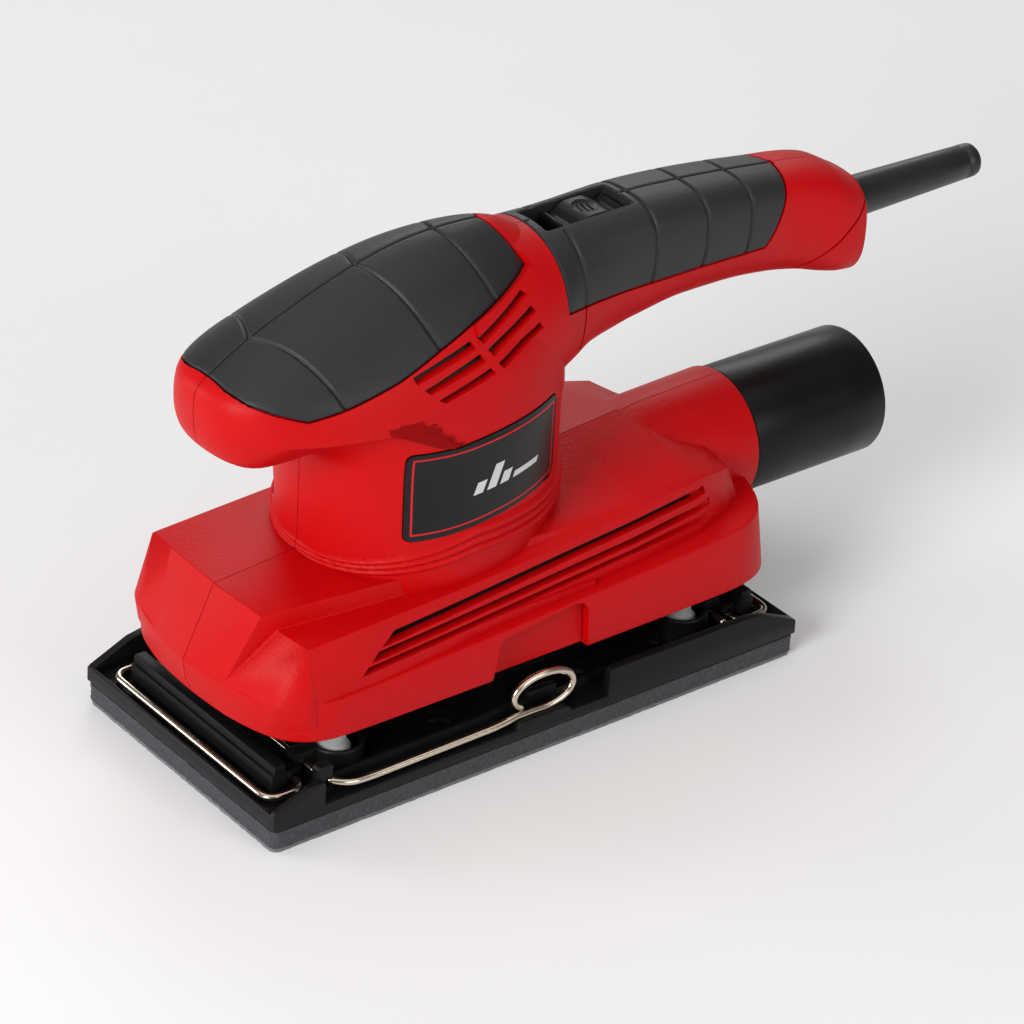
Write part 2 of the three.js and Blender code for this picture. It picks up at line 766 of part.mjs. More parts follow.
function fieldCoil(side) {
  const facing = (side * Math.PI) / 2;
  const low = stackLow - 4.6;
  const high = stackHigh + 4.6;
  const saddle = ring(MOTOR_X, 0, ROTOR + AIR_GAP, STATOR - 5.1, low, high, 24);
  const pole = wedgePrism(poleHalfAngle + 0.02, facing, stackLow - FIT, stackHigh + FIT);
  return saddle.intersect(wedgePrism(1.1, facing, low - 1, high + 1)).subtract(pole);
}

function motorShaft() {
  const z = 129;
  const pin = bar([padAxisX, 0, 12.6], [padAxisX, 0, 26], SHAFT - 0.2, 24);
  const lower = bar([MOTOR_X, 0, 24], [MOTOR_X, 0, 61], SHAFT + 1, 24);
  const upper = bar([MOTOR_X, 0, 60], [MOTOR_X, 0, z], SHAFT - 1, 24);
  return union(pin, lower, upper);
}

const shaftHole = (radius, z0, z1) => bar([MOTOR_X, 0, z0], [MOTOR_X, 0, z1], radius + FIT, 24);

function rotorCore() {
  const core = bar([MOTOR_X, 0, stackLow + 1], [MOTOR_X, 0, stackHigh - 1], ROTOR, 24);
  const slots = [];
  for (let i = 0; i < 8; i++) {
    const t = (i / 8) * 2 * Math.PI;
    const at = [MOTOR_X + ROTOR * Math.cos(t), ROTOR * Math.sin(t)];
    slots.push(bar([...at, stackLow], [...at, stackHigh], 1.2, 6));
  }
  return core.subtract(union(slots)).subtract(shaftHole(SHAFT - 1, stackLow, stackHigh));
}

function commutator() {
  const z0 = 104.5;
  return bar([MOTOR_X, 0, z0], [MOTOR_X, 0, z0 + 11], 9.5, 24).subtract(
    shaftHole(SHAFT - 1, z0 - 1, z0 + 12),
  );
}

function brushHolder(side) {
  const y0 = 10.6;
  const holder = box(MOTOR_X - 5, MOTOR_X + 5, y0, 26, 105.5, 114.5);
  const bore = box(MOTOR_X - 3.4, MOTOR_X + 3.4, y0 - 1, 24.6, 107, 113);
  const piece = holder.subtract(bore);
  return side < 0 ? mirrorY(piece) : piece;
}

function carbonBrush(side) {
  const piece = box(MOTOR_X - 3, MOTOR_X + 3, 9.9, 22, 107.4, 112.6);
  return side < 0 ? mirrorY(piece) : piece;
}

function coolingFan() {
  const z0 = 36;
  const disc = bar([MOTOR_X, 0, z0], [MOTOR_X, 0, z0 + 2], FAN, 28);
  const hub = bar([MOTOR_X, 0, z0], [MOTOR_X, 0, z0 + 10], 10, 24);
  const blades = [];
  for (let i = 0; i < 9; i++) {
    const blade = box(9, FAN - 0.6, -0.7, 0.7, z0 + 1, z0 + 10).rotate([0, 0, 22]);
    const placed = blade.translate([0.6, -4.6, 0]).rotate([0, 0, (i * 360) / 9]);
    blades.push(placed.translate([MOTOR_X, 0, 0]));
  }
  const rim = bar([MOTOR_X, 0, z0 - 1], [MOTOR_X, 0, z0 + 12], FAN, 28);
  return union(disc, hub, blades).intersect(rim).subtract(shaftHole(SHAFT + 1, z0 - 1, z0 + 12));
}

function counterweight() {
  const z0 = 26.8;
  const sector = bar([MOTOR_X, 0, z0], [MOTOR_X, 0, z0 + 6.4], 21, 24).intersect(
    box(MOTOR_X - 30, MOTOR_X + 2, -30, 30, z0 - 1, z0 + 7),
  );
  const hub = bar([MOTOR_X, 0, z0], [MOTOR_X, 0, z0 + 6.4], 9.5, 24);
  return sector.add(hub).subtract(shaftHole(SHAFT + 1, z0 - 1, z0 + 8));
}

function bearing(x, outer, inner, z0, z1) {
  return ring(x, 0, inner + FIT, outer, z0, z1, 24);
}

// ---- electrical pieces in the handle ----
function capacitor() {
  const y = 0;
  return union(
    box(66, 84, y - 5, y + 5, 118, 130),
    bar([63.5, y, 124], [66.1, y, 124], 0.6, 8),
    bar([83.9, y, 124], [86.5, y, 124], 0.6, 8),
  );
}

function lead(side) {
  const y = side * 4;
  return wire(
    [
      [flangeX - 20, y, SLEEVE_Z + 1],
      [98, y * 2, SLEEVE_Z + 2],
      [70, y * 2, SLEEVE_Z + 3],
      [slotRear - 0.6, y * 1.6, SLEEVE_Z + 4],
    ],
    1.2,
    8,
    6,
  );
}

// ---- legs ----
const legBottom = plateTop + 2.2;

function rubberLeg(sx, sy) {
  const x = sx * LEG_X;
  const y = sy * LEG_Y;
  const waist = LEG_RADIUS - 1.6;
  return union(
    bar([x, y, legBottom], [x, y, 15.5], LEG_RADIUS, 12),
    bar([x, y, 15], [x, y, 26], waist, 12),
    bar([x, y, 25.5], [x, y, LEG_TOP], LEG_RADIUS, 12),
  );
}

function legSockets() {
  const cups = [];
  for (const sx of [-1, 1]) {
    for (const sy of [-1, 1]) {
      const [x, y] = [sx * LEG_X, sy * LEG_Y];
      cups.push(ring(x, y, LEG_RADIUS + FIT, LEG_RADIUS + 2.2, 28, LEG_TOP + 2, 12));
      cups.push(bar([x, y, LEG_TOP + FIT], [x, y, 70], LEG_RADIUS + 2.2, 12));
    }
  }
  return union(cups);
}

// ---- pad ----
function padSlab(z0, z1, shrink, corner) {
  const hx = padHalfX - shrink;
  const hy = padHalfY - shrink;
  const c = corner;
  return planProfile(
    [
      [-hx + c, -hy], [hx - c, -hy], [hx - c * 0.3, -hy + c * 0.3], [hx, -hy + c],
      [hx, hy - c], [hx - c * 0.3, hy - c * 0.3], [hx - c, hy], [-hx + c, hy],
      [-hx + c * 0.3, hy - c * 0.3], [-hx, hy - c], [-hx, -hy + c],
      [-hx + c * 0.3, -hy + c * 0.3],
    ],
    z0,
    z1,
  );
}

// Eight dust holes, the same through the hook layer, the foam and the plate.
function dustHoles(z0, z1) {
  const holes = [];
  for (const x of [-52, -24, 24, 52]) {
    for (const y of [-padHalfY + 18, padHalfY - 18]) {
      holes.push(bar([x, y, z0 - 1], [x, y, z1 + 1], 4.2, 8));
    }
  }
  return union(holes);
}

function hookLayer() {
  return padSlab(0, HOOK, 0.4, 2).subtract(dustHoles(0, HOOK));
}

function foamPad() {
  const z0 = HOOK + FIT;
  return padSlab(z0, z0 + FOAM, 0, 2).subtract(dustHoles(z0, z0 + FOAM));
}

// One end's walls: the lip, the ridge, the high wall and the low rim of the side beside it.
function plateEnd() {
  const edge = padHalfY;
  const ridge = box(-86, -80.5, -35.5, 35.5, plateTop - 1, wallTop - 0.4);
  const highWall = sideProfile(
    [
      [-padHalfX, plateBottom],
      [-padHalfX, plateBottom + 4.6],
      [-padHalfX + 13, wallTop - 1],
      [-padHalfX + 20, wallTop],
      [-24, wallTop],
      [-22.5, plateBottom],
    ],
    edge - 2.6,
    edge,
  );
  const post = sideProfile(
    [
      [-padHalfX, plateBottom],
      [-padHalfX, plateBottom + 4.6],
      [-padHalfX + 12.5, wallTop - 1.6],
      [-padHalfX + 17.5, wallTop - 1.6],
      [-padHalfX + 17.5, plateBottom],
    ],
    -edge,
    -edge + 2.2,
  );
  const catchBlock = box(-9, 9.5, -edge, -edge + 4.2, plateBottom, plateBottom + 2.4);
  const lip = box(-padHalfX, -padHalfX + 1.6, -edge, edge, plateBottom, plateBottom + 4.4);
  const axleLug = box(-AXLE_X - 4, -AXLE_X + 4, -31, -26, plateTop - 1, AXLE_Z + 4);
  const axleLug2 = box(-AXLE_X - 4, -AXLE_X + 4, 26, 31, plateTop - 1, AXLE_Z + 4);
  const jawLug = [-31, 31].map((y) =>
    box(-JAW_PIN_X - 2.6, -JAW_PIN_X + 2.4, y - 2, y + 2, plateTop - 1, 15.4),
  );
  return union(ridge, highWall, post, catchBlock, lip, axleLug, axleLug2, jawLug);
}

function endCuts() {
  const x = -AXLE_X;
  const axle = bar([x, -60, AXLE_Z], [x, 42, AXLE_Z], WIRE + FIT, 12);
  const jawPins = bar([-JAW_PIN_X, -40, JAW_Z], [-JAW_PIN_X, 40, JAW_Z], WIRE + FIT, 12);
  return union(axle, jawPins);
}

function basePlate() {
  const slab = padSlab(plateBottom, plateTop, 0, 2);
  const rim = padSlab(plateBottom, plateBottom + RIM_HEIGHT, 0, 2);
  const boss = bar([padAxisX, 0, plateTop - 1], [padAxisX, 0, 22], PAD_BEARING + 3.4, 20);
  const cups = [];
  for (const sx of [-1, 1]) {
    for (const sy of [-1, 1]) {
      const inner = LEG_RADIUS + LEG_PLAY;
      const x = sx * LEG_X + ORBIT_RADIUS; // centred on the leg's path, not on its rest place
      cups.push(ring(x, sy * LEG_Y, inner, inner + 1.2, plateTop - 1, 17.6, 12));
    }
  }
  const ribs = [-20, 20].flatMap((y) => [
    box(-60, -27, y - 1, y + 1, plateTop - 1, 15),
    box(7, 60, y - 1, y + 1, plateTop - 1, 15),
  ]);
  const legRoom = [];
  for (const sx of [-1, 1]) {
    for (const sy of [-1, 1]) {
      const x = sx * LEG_X + ORBIT_RADIUS;
      const y = sy * LEG_Y;
      legRoom.push(bar([x, y, plateTop], [x, y, 24], LEG_RADIUS + LEG_PLAY, 12));
    }
  }
  const end = plateEnd();
  const cuts = endCuts();
  return union(slab, rim, boss, cups, ribs, end, turnHalf(end))
    .subtract(bar([padAxisX, 0, 12.2], [padAxisX, 0, 23], PAD_BEARING + FIT + 0.1, 20))
    .subtract(union(legRoom))
    .subtract(union(cuts, turnHalf(cuts)))
    .subtract(dustHoles(plateBottom, plateTop));
}

// ---- sheet clamps ----
// The lever: a crosswise axle, an arm along the side and a finger loop.
function clampLever() {
  const y = -LEVER_Y;
  const armZ = plateBottom + RIM_HEIGHT + FIT + WIRE;
  const stem = wire(
    [
      [-AXLE_X, 38, AXLE_Z],
      [-AXLE_X, -40, AXLE_Z],
      [-AXLE_X + 5, y, armZ + 1],
      [-AXLE_X + 12, y, armZ],
      [-8, y, armZ],
      [10, y + 2.2, armZ + 0.6],
    ],
    WIRE,
    5,
  );
  const centre = [1, y + 2.4, armZ + 5.4];
  const loop = [];
  const count = 14;
  const sides = 6;
  for (let i = 0; i < count; i++) {
    const t = (i / count) * 2 * Math.PI;
    const section = [];
    for (let k = 0; k < sides; k++) {
      const s = (k / sides) * 2 * Math.PI;
      const reachX = 10 + WIRE * Math.cos(s);
      const reachZ = 5.2 + WIRE * Math.cos(s);
      section.push(
        new THREE.Vector3(
          centre[0] + reachX * Math.cos(t),
          centre[1] + WIRE * Math.sin(s),
          centre[2] + reachZ * Math.sin(t),
        ),
      );
    }
    loop.push(section);
  }
  return stem.add(closedLoft(loop));
}

// Rings of equal length, skinned round to the first again.
function closedLoft(rings) {
  const count = rings[0].length;
  const positions = rings.flat().flatMap((p) => [p.x, p.y, p.z]);
  const index = [];
  for (let k = 0; k < rings.length; k++) {
    const next = (k + 1) % rings.length;
    for (let i = 0; i < count; i++) {
      const j = (i + 1) % count;
      index.push(k * count + i, k * count + j, next * count + j);
      index.push(k * count + i, next * count + j, next * count + i);
    }
  }
  const shape = new THREE.BufferGeometry();
  shape.setAttribute("position", new THREE.Float32BufferAttribute(positions, 3));
  shape.setIndex(index);
  return solid(shape);
}

// The jaw: a straight bar behind the lip, whose ends turn back to two pins.
function clampJaw() {
  return wire(
    [
      [-JAW_PIN_X, 29.6, JAW_Z],
      [-JAW_PIN_X, 38, JAW_Z],
      [-JAW_X, 38, JAW_Z],
      [-JAW_X, -38, JAW_Z],
      [-JAW_PIN_X, -38, JAW_Z],
      [-JAW_PIN_X, -29.6, JAW_Z],
    ],
    WIRE,
    3.6,
  );
}

// ---- dust outlet ----
function dustAdapter() {
  const z = PORT_Z;
  const start = PORT_END + FIT;
  const bore = TUBE_RADIUS - TUBE_WALL - 1.9;
  const outside = union(
    bar([start - SPIGOT, 0, z], [start + 1, 0, z], PORT_BORE - FIT - 0.1, 24),
    bar([start, 0, z], [TUBE_END, 0, z], TUBE_RADIUS, 28),
  );
  return outside.subtract(
    union(
      bar([start - SPIGOT - 1, 0, z], [TUBE_END + 1, 0, z], bore, 24),
      bar([start + 6, 0, z], [TUBE_END + 1, 0, z], TUBE_RADIUS - TUBE_WALL, 28),
    ),
  );
}

// ---- assembly ----
const group = new THREE.Group();
group.name = "orbital_sander";

// Adds one solid as a named mesh, without the slivers its cuts left.
function place(name, piece, look) {
  const mesh = piece.asOriginal().simplify(0.05).getMesh();
  const geometry = new THREE.BufferGeometry();
  const positions = new Float32Array(mesh.numVert * 3);
  for (let i = 0; i < mesh.numVert; i++) {
    const at = i * mesh.numProp;
    positions.set(mesh.vertProperties.subarray(at, at + 3), i * 3);
  }
  geometry.setAttribute("position", new THREE.BufferAttribute(positions, 3));
  geometry.setIndex(new THREE.BufferAttribute(mesh.triVerts, 1));
  geometry.computeVertexNormals();
  const placed = new THREE.Mesh(geometry, new THREE.MeshStandardMaterial(look));
  placed.name = name;
  group.add(placed);
}

const [leftHalf, rightHalf] = housingParts();
place("housing_left", leftHalf, red);
place("housing_right", rightHalf, red);
place("head_grip_left", headGrip(-1), softGrip);
place("head_grip_right", headGrip(1), softGrip);
place("handle_grip_left", handleGrip(-1), softGrip);
place("handle_grip_right", handleGrip(1), softGrip);
place("name_plate_left", namePlate(-1).intersect(box(-90, 90, -90, -5, 0, 200)), blackPlastic);
place("name_plate_right", namePlate(1).intersect(box(-90, 90, 5, 90, 0, 200)), blackPlastic);

const form = outerForm();
for (const [name, x, z] of screwPlaces()) place("screw_" + name, screw(x, z, form), darkSteel);

place("switch_slider", switchSlider(), blackPlastic);
place("switch_module", switchModule(), blackPlastic);
place("cord_sleeve", cordSleeve(), blackRubber);
place("cord_clamp", cordClamp(), blackPlastic);
place("cord_clamp_screw_left", clampScrew(-CLAMP_SCREW_Y), darkSteel);
place("cord_clamp_screw_right", clampScrew(CLAMP_SCREW_Y), darkSteel);
place("suppressor_capacitor", capacitor(), blueFilm);
place("lead_live", lead(-1), blackRubber);
place("lead_neutral", lead(1), blueFilm);

place("stator_core", statorCore(), darkSteel);
place("field_coil_left", fieldCoil(-1), copper);
place("field_coil_right", fieldCoil(1), copper);
place("motor_shaft", motorShaft(), steel);
place("rotor_core", rotorCore(), darkSteel);
place("commutator", commutator(), copper);
place("cooling_fan", coolingFan(), blackPlastic);
place("counterweight", counterweight(), zinc);
place("upper_bearing", bearing(MOTOR_X, UPPER_BEARING, SHAFT - 1, 121, 128), steel);
place("lower_bearing", bearing(MOTOR_X, LOWER_BEARING, SHAFT + 1, 49.5, 58.5), steel);
place("brush_holder_left", brushHolder(-1), brass);
place("brush_holder_right", brushHolder(1), brass);
place("carbon_brush_left", carbonBrush(-1), carbon);
place("carbon_brush_right", carbonBrush(1), carbon);

for (const [name, sx, sy] of [
  ["front_left", -1, -1],
  ["front_right", -1, 1],
  ["rear_left", 1, -1],
  ["rear_right", 1, 1],
]) {
  place("rubber_leg_" + name, rubberLeg(sx, sy), clearRubber);
}
place("base_plate", basePlate(), blackPlastic);
place("pad_bearing", bearing(padAxisX, PAD_BEARING, SHAFT - 0.2, 12.8, 21), steel);
place("foam_pad", foamPad(), foamGrey);
place("hook_layer", hookLayer(), foamGrey);
place("front_clamp_lever", clampLever(), steel);
place("front_clamp_jaw", clampJaw(), steel);
place("rear_clamp_lever", turnHalf(clampLever()), steel);
place("rear_clamp_jaw", turnHalf(clampJaw()), steel);
place("dust_adapter", dustAdapter(), blackPlastic);

export default group;
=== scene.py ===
import math

import bpy
import numpy as np
from mathutils import Matrix, Vector
from mathutils.bvhtree import BVHTree


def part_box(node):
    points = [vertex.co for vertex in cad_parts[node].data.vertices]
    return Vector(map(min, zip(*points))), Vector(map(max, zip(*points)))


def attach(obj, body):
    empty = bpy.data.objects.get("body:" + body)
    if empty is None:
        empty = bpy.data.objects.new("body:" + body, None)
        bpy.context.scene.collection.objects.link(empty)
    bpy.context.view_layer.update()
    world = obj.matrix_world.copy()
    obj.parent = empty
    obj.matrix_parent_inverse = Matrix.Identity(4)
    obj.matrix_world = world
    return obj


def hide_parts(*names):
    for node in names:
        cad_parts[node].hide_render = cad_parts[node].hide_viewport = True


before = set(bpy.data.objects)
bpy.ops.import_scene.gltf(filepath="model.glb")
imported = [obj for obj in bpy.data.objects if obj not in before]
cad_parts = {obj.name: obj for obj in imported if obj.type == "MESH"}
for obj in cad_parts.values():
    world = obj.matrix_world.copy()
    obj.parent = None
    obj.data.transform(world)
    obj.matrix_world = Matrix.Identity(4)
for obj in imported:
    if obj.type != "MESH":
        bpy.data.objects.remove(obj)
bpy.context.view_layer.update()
MM = 0.001

# ---------------------------------------------------------------- sizes that several pieces share
HALF_LENGTH, HALF_WIDTH = 93.5, 46.0  # of the pad
PLATE_BOTTOM = 7.4  # underside of the base plate, above the foam
PORT_Z = 52.2  # axis of the dust port and its tube
SLEEVE_Z = 117.5  # axis of the cord sleeve
LABEL_WIDTH, LABEL_HEIGHT, LABEL_CORNER = 52.8, 26.0, 2.2
WIRE_RADIUS = 1.1
AXLE_X, AXLE_Z = 72.4, 13.8  # the clamp levers' axles
JAW_PIN_X, JAW_Z = 78.0, 12.2  # the pins that the clamp jaws turn on
LEG_X, LEG_Y = 62, 29
AZIMUTH = -39.67  # of the view and of the floor's sweep, in degrees


# ---------------------------------------------------------------- colour and materials
def linear(code):
    """Linear RGBA of an sRGB hex colour."""
    parts = [int(code[i : i + 2], 16) / 255 for i in (1, 3, 5)]
    return [c / 12.92 if c <= 0.04045 else ((c + 0.055) / 1.055) ** 2.4 for c in parts] + [1.0]


def add(tree, kind, inputs=None, **settings):
    """One shader node with its settings, and its inputs set or linked by name or number."""
    node = tree.nodes.new(kind)
    for key, value in settings.items():
        setattr(node, key, value)
    for key, value in (inputs or {}).items():
        if isinstance(value, bpy.types.NodeSocket):
            tree.links.new(value, node.inputs[key])
        else:
            node.inputs[key].default_value = value
    return node


def surface(name, low, high, rough, metal=0.0, spot=1.0, grain=0.3, bump=0.06, spread=0.06, **extra):
    """A material whose colour wanders between two close tones and whose skin has a fine grain.
    spot and grain are pattern sizes in millimetres, bump is the grain's height in millimetres."""
    mat = bpy.data.materials.new(name)
    mat.use_nodes = True
    tree = mat.node_tree
    shader = tree.nodes["Principled BSDF"]
    where = add(tree, "ShaderNodeTexCoord").outputs["Object"]
    tone = add(
        tree, "ShaderNodeTexNoise",
        {"Vector": where, "Scale": 1000 / spot, "Detail": 4.0, "Roughness": 0.6}
    )
    mixed = add(
        tree, "ShaderNodeMix", {"Factor": tone.outputs["Fac"], "A": linear(low), "B": linear(high)},
        data_type="RGBA"
    )
    for key, value in (("A", linear(low)), ("B", linear(high))):
        [s for s in mixed.inputs if s.name == key and s.type == "RGBA"][0].default_value = value
    result = [s for s in mixed.outputs if s.type == "RGBA"][0]
    fine = add(
        tree, "ShaderNodeTexNoise",
        {"Vector": where, "Scale": 1000 / grain, "Detail": 2.0, "Roughness": 0.5}
    )
    relief = add(
        tree, "ShaderNodeBump", {"Height": fine.outputs["Fac"], "Distance": bump * MM, "Strength": 1.0}
    )
    gloss = add(
        tree, "ShaderNodeMapRange",
        {"Value": tone.outputs["Fac"], "To Min": rough - spread / 2, "To Max": rough + spread / 2}
    )
    tree.links.new(result, shader.inputs["Base Color"])
    tree.links.new(relief.outputs["Normal"], shader.inputs["Normal"])
    tree.links.new(gloss.outputs["Result"], shader.inputs["Roughness"])
    shader.inputs["Metallic"].default_value = metal
    for key, value in extra.items():
        shader.inputs[key.replace("_", " ")].default_value = value
    return mat


def fade_above(mat, level):
    """Weakens the grain above a level, where the mould was polished."""
    tree = mat.node_tree
    where = add(tree, "ShaderNodeTexCoord").outputs["Object"]
    height = add(tree, "ShaderNodeSeparateXYZ", {"Vector": where}).outputs["Z"]
    share = add(
        tree, "ShaderNodeMapRange",
        {"Value": height, "From Min": level * MM, "From Max": (level + 3) * MM, "To Min": 1.0, "To Max": 0.3}
    )
    relief = [n for n in tree.nodes if n.bl_idname == "ShaderNodeBump"][0]
    tree.links.new(share.outputs["Result"], relief.inputs["Strength"])


# glass-filled ABS with a spark-eroded mould finish: a strong red with a fine, broken sheen
red_abs = surface(
    "red_abs", "#B40004", "#C00006", 0.48, spot=7, grain=1.2, bump=0.13, Specular_IOR_Level=0.16
)
fade_above(red_abs, 71.5)
# thermoplastic elastomer overmould: dark grey, with a soft grain that dulls its highlights
soft_grip = surface(
    "black_elastomer", "#1A1B1D", "#222326", 0.50, spot=3, grain=0.9, bump=0.09, Specular_IOR_Level=0.4
)
# moulded black nylon: near black, satin, almost plain
black_nylon = surface(
    "black_nylon", "#0A0A0B", "#101112", 0.42, spot=5, grain=0.5, bump=0.02, Specular_IOR_Level=0.2
)
# moulded black ABS: the deepest black here, with one long satin highlight
tube_abs = surface(
    "black_abs", "#060607", "#0B0B0C", 0.36, spot=8, grain=0.6, bump=0.012, Specular_IOR_Level=0.2
)
# black PVC of the cord sleeve: smooth and slightly waxy
sleeve_pvc = surface("black_pvc", "#101112", "#18191B", 0.40, spot=4, grain=0.5, bump=0.015)
# closed-cell EVA foam: matt, speckled dark and mid grey
eva_foam = surface("eva_foam", "#0F1012", "#55565A", 0.95, spot=0.8, grain=0.5, bump=0.25, spread=0.02)
# hook-and-loop pile: matt mid grey, drawn coarser than real so that it shows
hook_pile = surface("hook_pile", "#4A4A4C", "#8A8A8C", 0.98, spot=0.6, grain=0.35, bump=0.3, spread=0.02)
# nickel-plated spring wire: warm, clear reflections
nickel_wire = surface("nickel_wire", "#C9BCA8", "#D8CDBB", 0.20, metal=1.0, spot=1.5, grain=0.3, bump=0.004)
# silicone rubber: cloudy white that lets some light through
clear_silicone = surface(
    "clear_silicone", "#BFC4C2", "#D0D5D3", 0.42, spot=3, grain=0.8, bump=0.01, Transmission_Weight=0.25
)
# black-zinc screw steel
screw_steel = surface("zinc_steel", "#55575B", "#6B6D72", 0.35, metal=1.0, spot=2, grain=0.3, bump=0.004)
# ground bearing steel
ground_steel = surface("bearing_steel", "#B5B3AE", "#C4C2BD", 0.25, metal=1.0, spot=2, grain=0.2, bump=0.003)
# oiled electrical-steel laminations
lamination = surface("lamination_steel", "#5E6064", "#74767A", 0.42, metal=1.0, spot=1, grain=0.4, bump=0.01)
# enamelled copper windings
copper_wire = surface(
    "enamelled_copper", "#9A5326", "#B56A35", 0.34, metal=1.0, spot=0.8, grain=0.5, bump=0.08
)
# die-cast zinc
cast_zinc = surface("cast_zinc", "#85878A", "#96989B", 0.45, metal=1.0, spot=2, grain=0.6, bump=0.02)
# stamped brass
brass_sheet = surface("brass", "#B8924A", "#C9A55C", 0.32, metal=1.0, spot=3, grain=0.3, bump=0.004)
# pressed graphite brush
graphite = surface("graphite", "#242426", "#303033", 0.65, spot=1, grain=0.3, bump=0.01)
# dipped blue film of a capacitor
blue_film = surface("blue_film", "#22418E", "#2D4FA0", 0.38, spot=2, grain=0.6, bump=0.01)


# ---------------------------------------------------------------- meshes
def build(name, verts, faces, angle=30):
    """A mesh object from millimetre vertices, its faces turned outwards and its sharp edges kept."""
    mesh = bpy.data.meshes.new(name)
    mesh.from_pydata((np.asarray(verts, float) * MM).tolist(), [], faces)
    obj = bpy.data.objects.new(name, mesh)
    bpy.context.scene.collection.objects.link(obj)
    if volume(mesh) < 0:
        mesh.flip_normals()
    shade(obj, angle)
    return obj


def volume(mesh):
    """Signed volume inside a closed mesh: a sixth of the triangles' summed triple products."""
    mesh.calc_loop_triangles()
    co = np.zeros(len(mesh.vertices) * 3)
    mesh.vertices.foreach_get("co", co)
    tri = np.zeros(len(mesh.loop_triangles) * 3, int)
    mesh.loop_triangles.foreach_get("vertices", tri)
    p = co.reshape(-1, 3)[tri.reshape(-1, 3)]
    return float(np.einsum("ij,ij->i", p[:, 0], np.cross(p[:, 1], p[:, 2])).sum()) / 6


def shade(obj, angle=30):
    mesh = obj.data
    mesh.polygons.foreach_set("use_smooth", np.ones(len(mesh.polygons), bool))
    mesh.set_sharp_from_angle(angle=math.radians(angle))
    mesh.update()


def apply(obj):
    """Replaces an object's mesh by what its modifiers make of it."""
    graph = bpy.context.evaluated_depsgraph_get()
    made = bpy.data.meshes.new_from_object(obj.evaluated_get(graph))
    obj.modifiers.clear()
    obj.data = made
    return obj


def combine(obj, others, operation="DIFFERENCE"):
    """Cuts the others from obj, joins them to it, or keeps what they share. The others go."""
    for other in others:
        step = obj.modifiers.new("step", "BOOLEAN")
        step.operation = operation
        step.object = other
        step.solver = "MANIFOLD"
    apply(obj)
    for other in others:
        bpy.data.objects.remove(other)
    return obj


def round_edges(obj, width, angle=30, segments=3):
    """A bevel of the given width in millimetres on every edge sharper than the angle."""
    step = obj.modifiers.new("round", "BEVEL")
    step.width = width * MM
    step.segments = segments
    step.limit_method = "ANGLE"
    step.angle_limit = math.radians(angle)
    step.use_clamp_overlap = True
    apply(obj)
    shade(obj)
    return obj


def skin(name, rings, closed=False, angle=30):
    """Rings of equal length skinned in order: a tube closed on itself, or one with flat caps."""
    rings = np.asarray(rings, float)
    count, size = rings.shape[:2]
    index = np.arange(count * size).reshape(count, size)
    nxt = np.roll(index, -1, axis=1)
    last = count if closed else count - 1
    up = np.roll(index, -1, axis=0)
    upn = np.roll(nxt, -1, axis=0)
    quads = np.stack([index[:last], nxt[:last], upn[:last], up[:last]], -1).reshape(-1, 4).tolist()
    if not closed:
        quads += [index[0][::-1].tolist(), index[-1].tolist()]
    return build(name, rings.reshape(-1, 3), quads, angle)


def turned(name, profile, start, axis=(1, 0, 0), sides=96, angle=30):
    """A profile of (distance along the axis, radius) turned round that axis from a start point.
    P = start + d * axis + r * (cos t * side + sin t * up)."""
    a = Vector(axis).normalized()
    side = a.orthogonal().normalized()
    up = a.cross(side)
    t = np.linspace(0, 2 * math.pi, sides, endpoint=False)
    ring = np.outer(np.cos(t), side) + np.outer(np.sin(t), up)
    rings = [np.array(start) + d * np.array(a) + r * ring for d, r in profile]
    closed = profile[0] == profile[-1]
    return skin(name, rings[:-1] if closed else rings, closed, angle)


def prism(name, outline, low, high, axis="z", bevel=0.0, segments=2):
    """A flat outline pushed along one axis from low to high, with rounded edges."""
    place = {
        "z": lambda p, d: (p[0], p[1], d), "y": lambda p, d: (p[0], d, p[1]), "x": lambda p,
        d: (d, p[0], p[1])
    }[axis]
    obj = skin(name, [[place(p, d) for p in outline] for d in (low, high)])
    return round_edges(obj, bevel, 20, segments) if bevel else obj


def block(name, x0, x1, y0, y1, z0, z1, bevel=0.0):
    return prism(name, [(x0, y0), (x1, y0), (x1, y1), (x0, y1)], z0, z1, "z", bevel)


def smooth(table, x):
    """Columns of a table as monotone cubic curves of its first column, read at x."""
    table = np.asarray(table, float)
    k, v = table[:, 0], table[:, 1:]
    h = np.diff(k)[:, None]
    d = np.diff(v, axis=0) / h
    m = np.zeros_like(v)
    same = d[:-1] * d[1:] > 0
    w1, w2 = 2 * h[1:] + h[:-1], h[1:] + 2 * h[:-1]
    safe = np.where(same, w1 / np.where(same, d[:-1], 1) + w2 / np.where(same, d[1:], 1), 1)
    m[1:-1] = np.where(same, (w1 + w2) / safe, 0)
    m[0], m[-1] = d[0], d[-1]
    x = np.clip(np.atleast_1d(x).astype(float), k[0], k[-1])
    i = np.clip(np.searchsorted(k, x, side="right") - 1, 0, len(k) - 2)
    s = ((x - k[i]) / (k[i + 1] - k[i]))[:, None]
    hh = h[i]
    a, b = 2 * s**3 - 3 * s**2 + 1, s**3 - 2 * s**2 + s
    c, e = -2 * s**3 + 3 * s**2, s**3 - s**2
    return a * v[i] + b * hh * m[i] + c * v[i + 1] + e * hh * m[i + 1]


def power(value, n):
    return np.sign(value) * np.abs(value) ** (2 / n)


def ease(value, low, high):
    t = np.clip((value - low) / (high - low), 0, 1)
    return t * t * (3 - 2 * t)


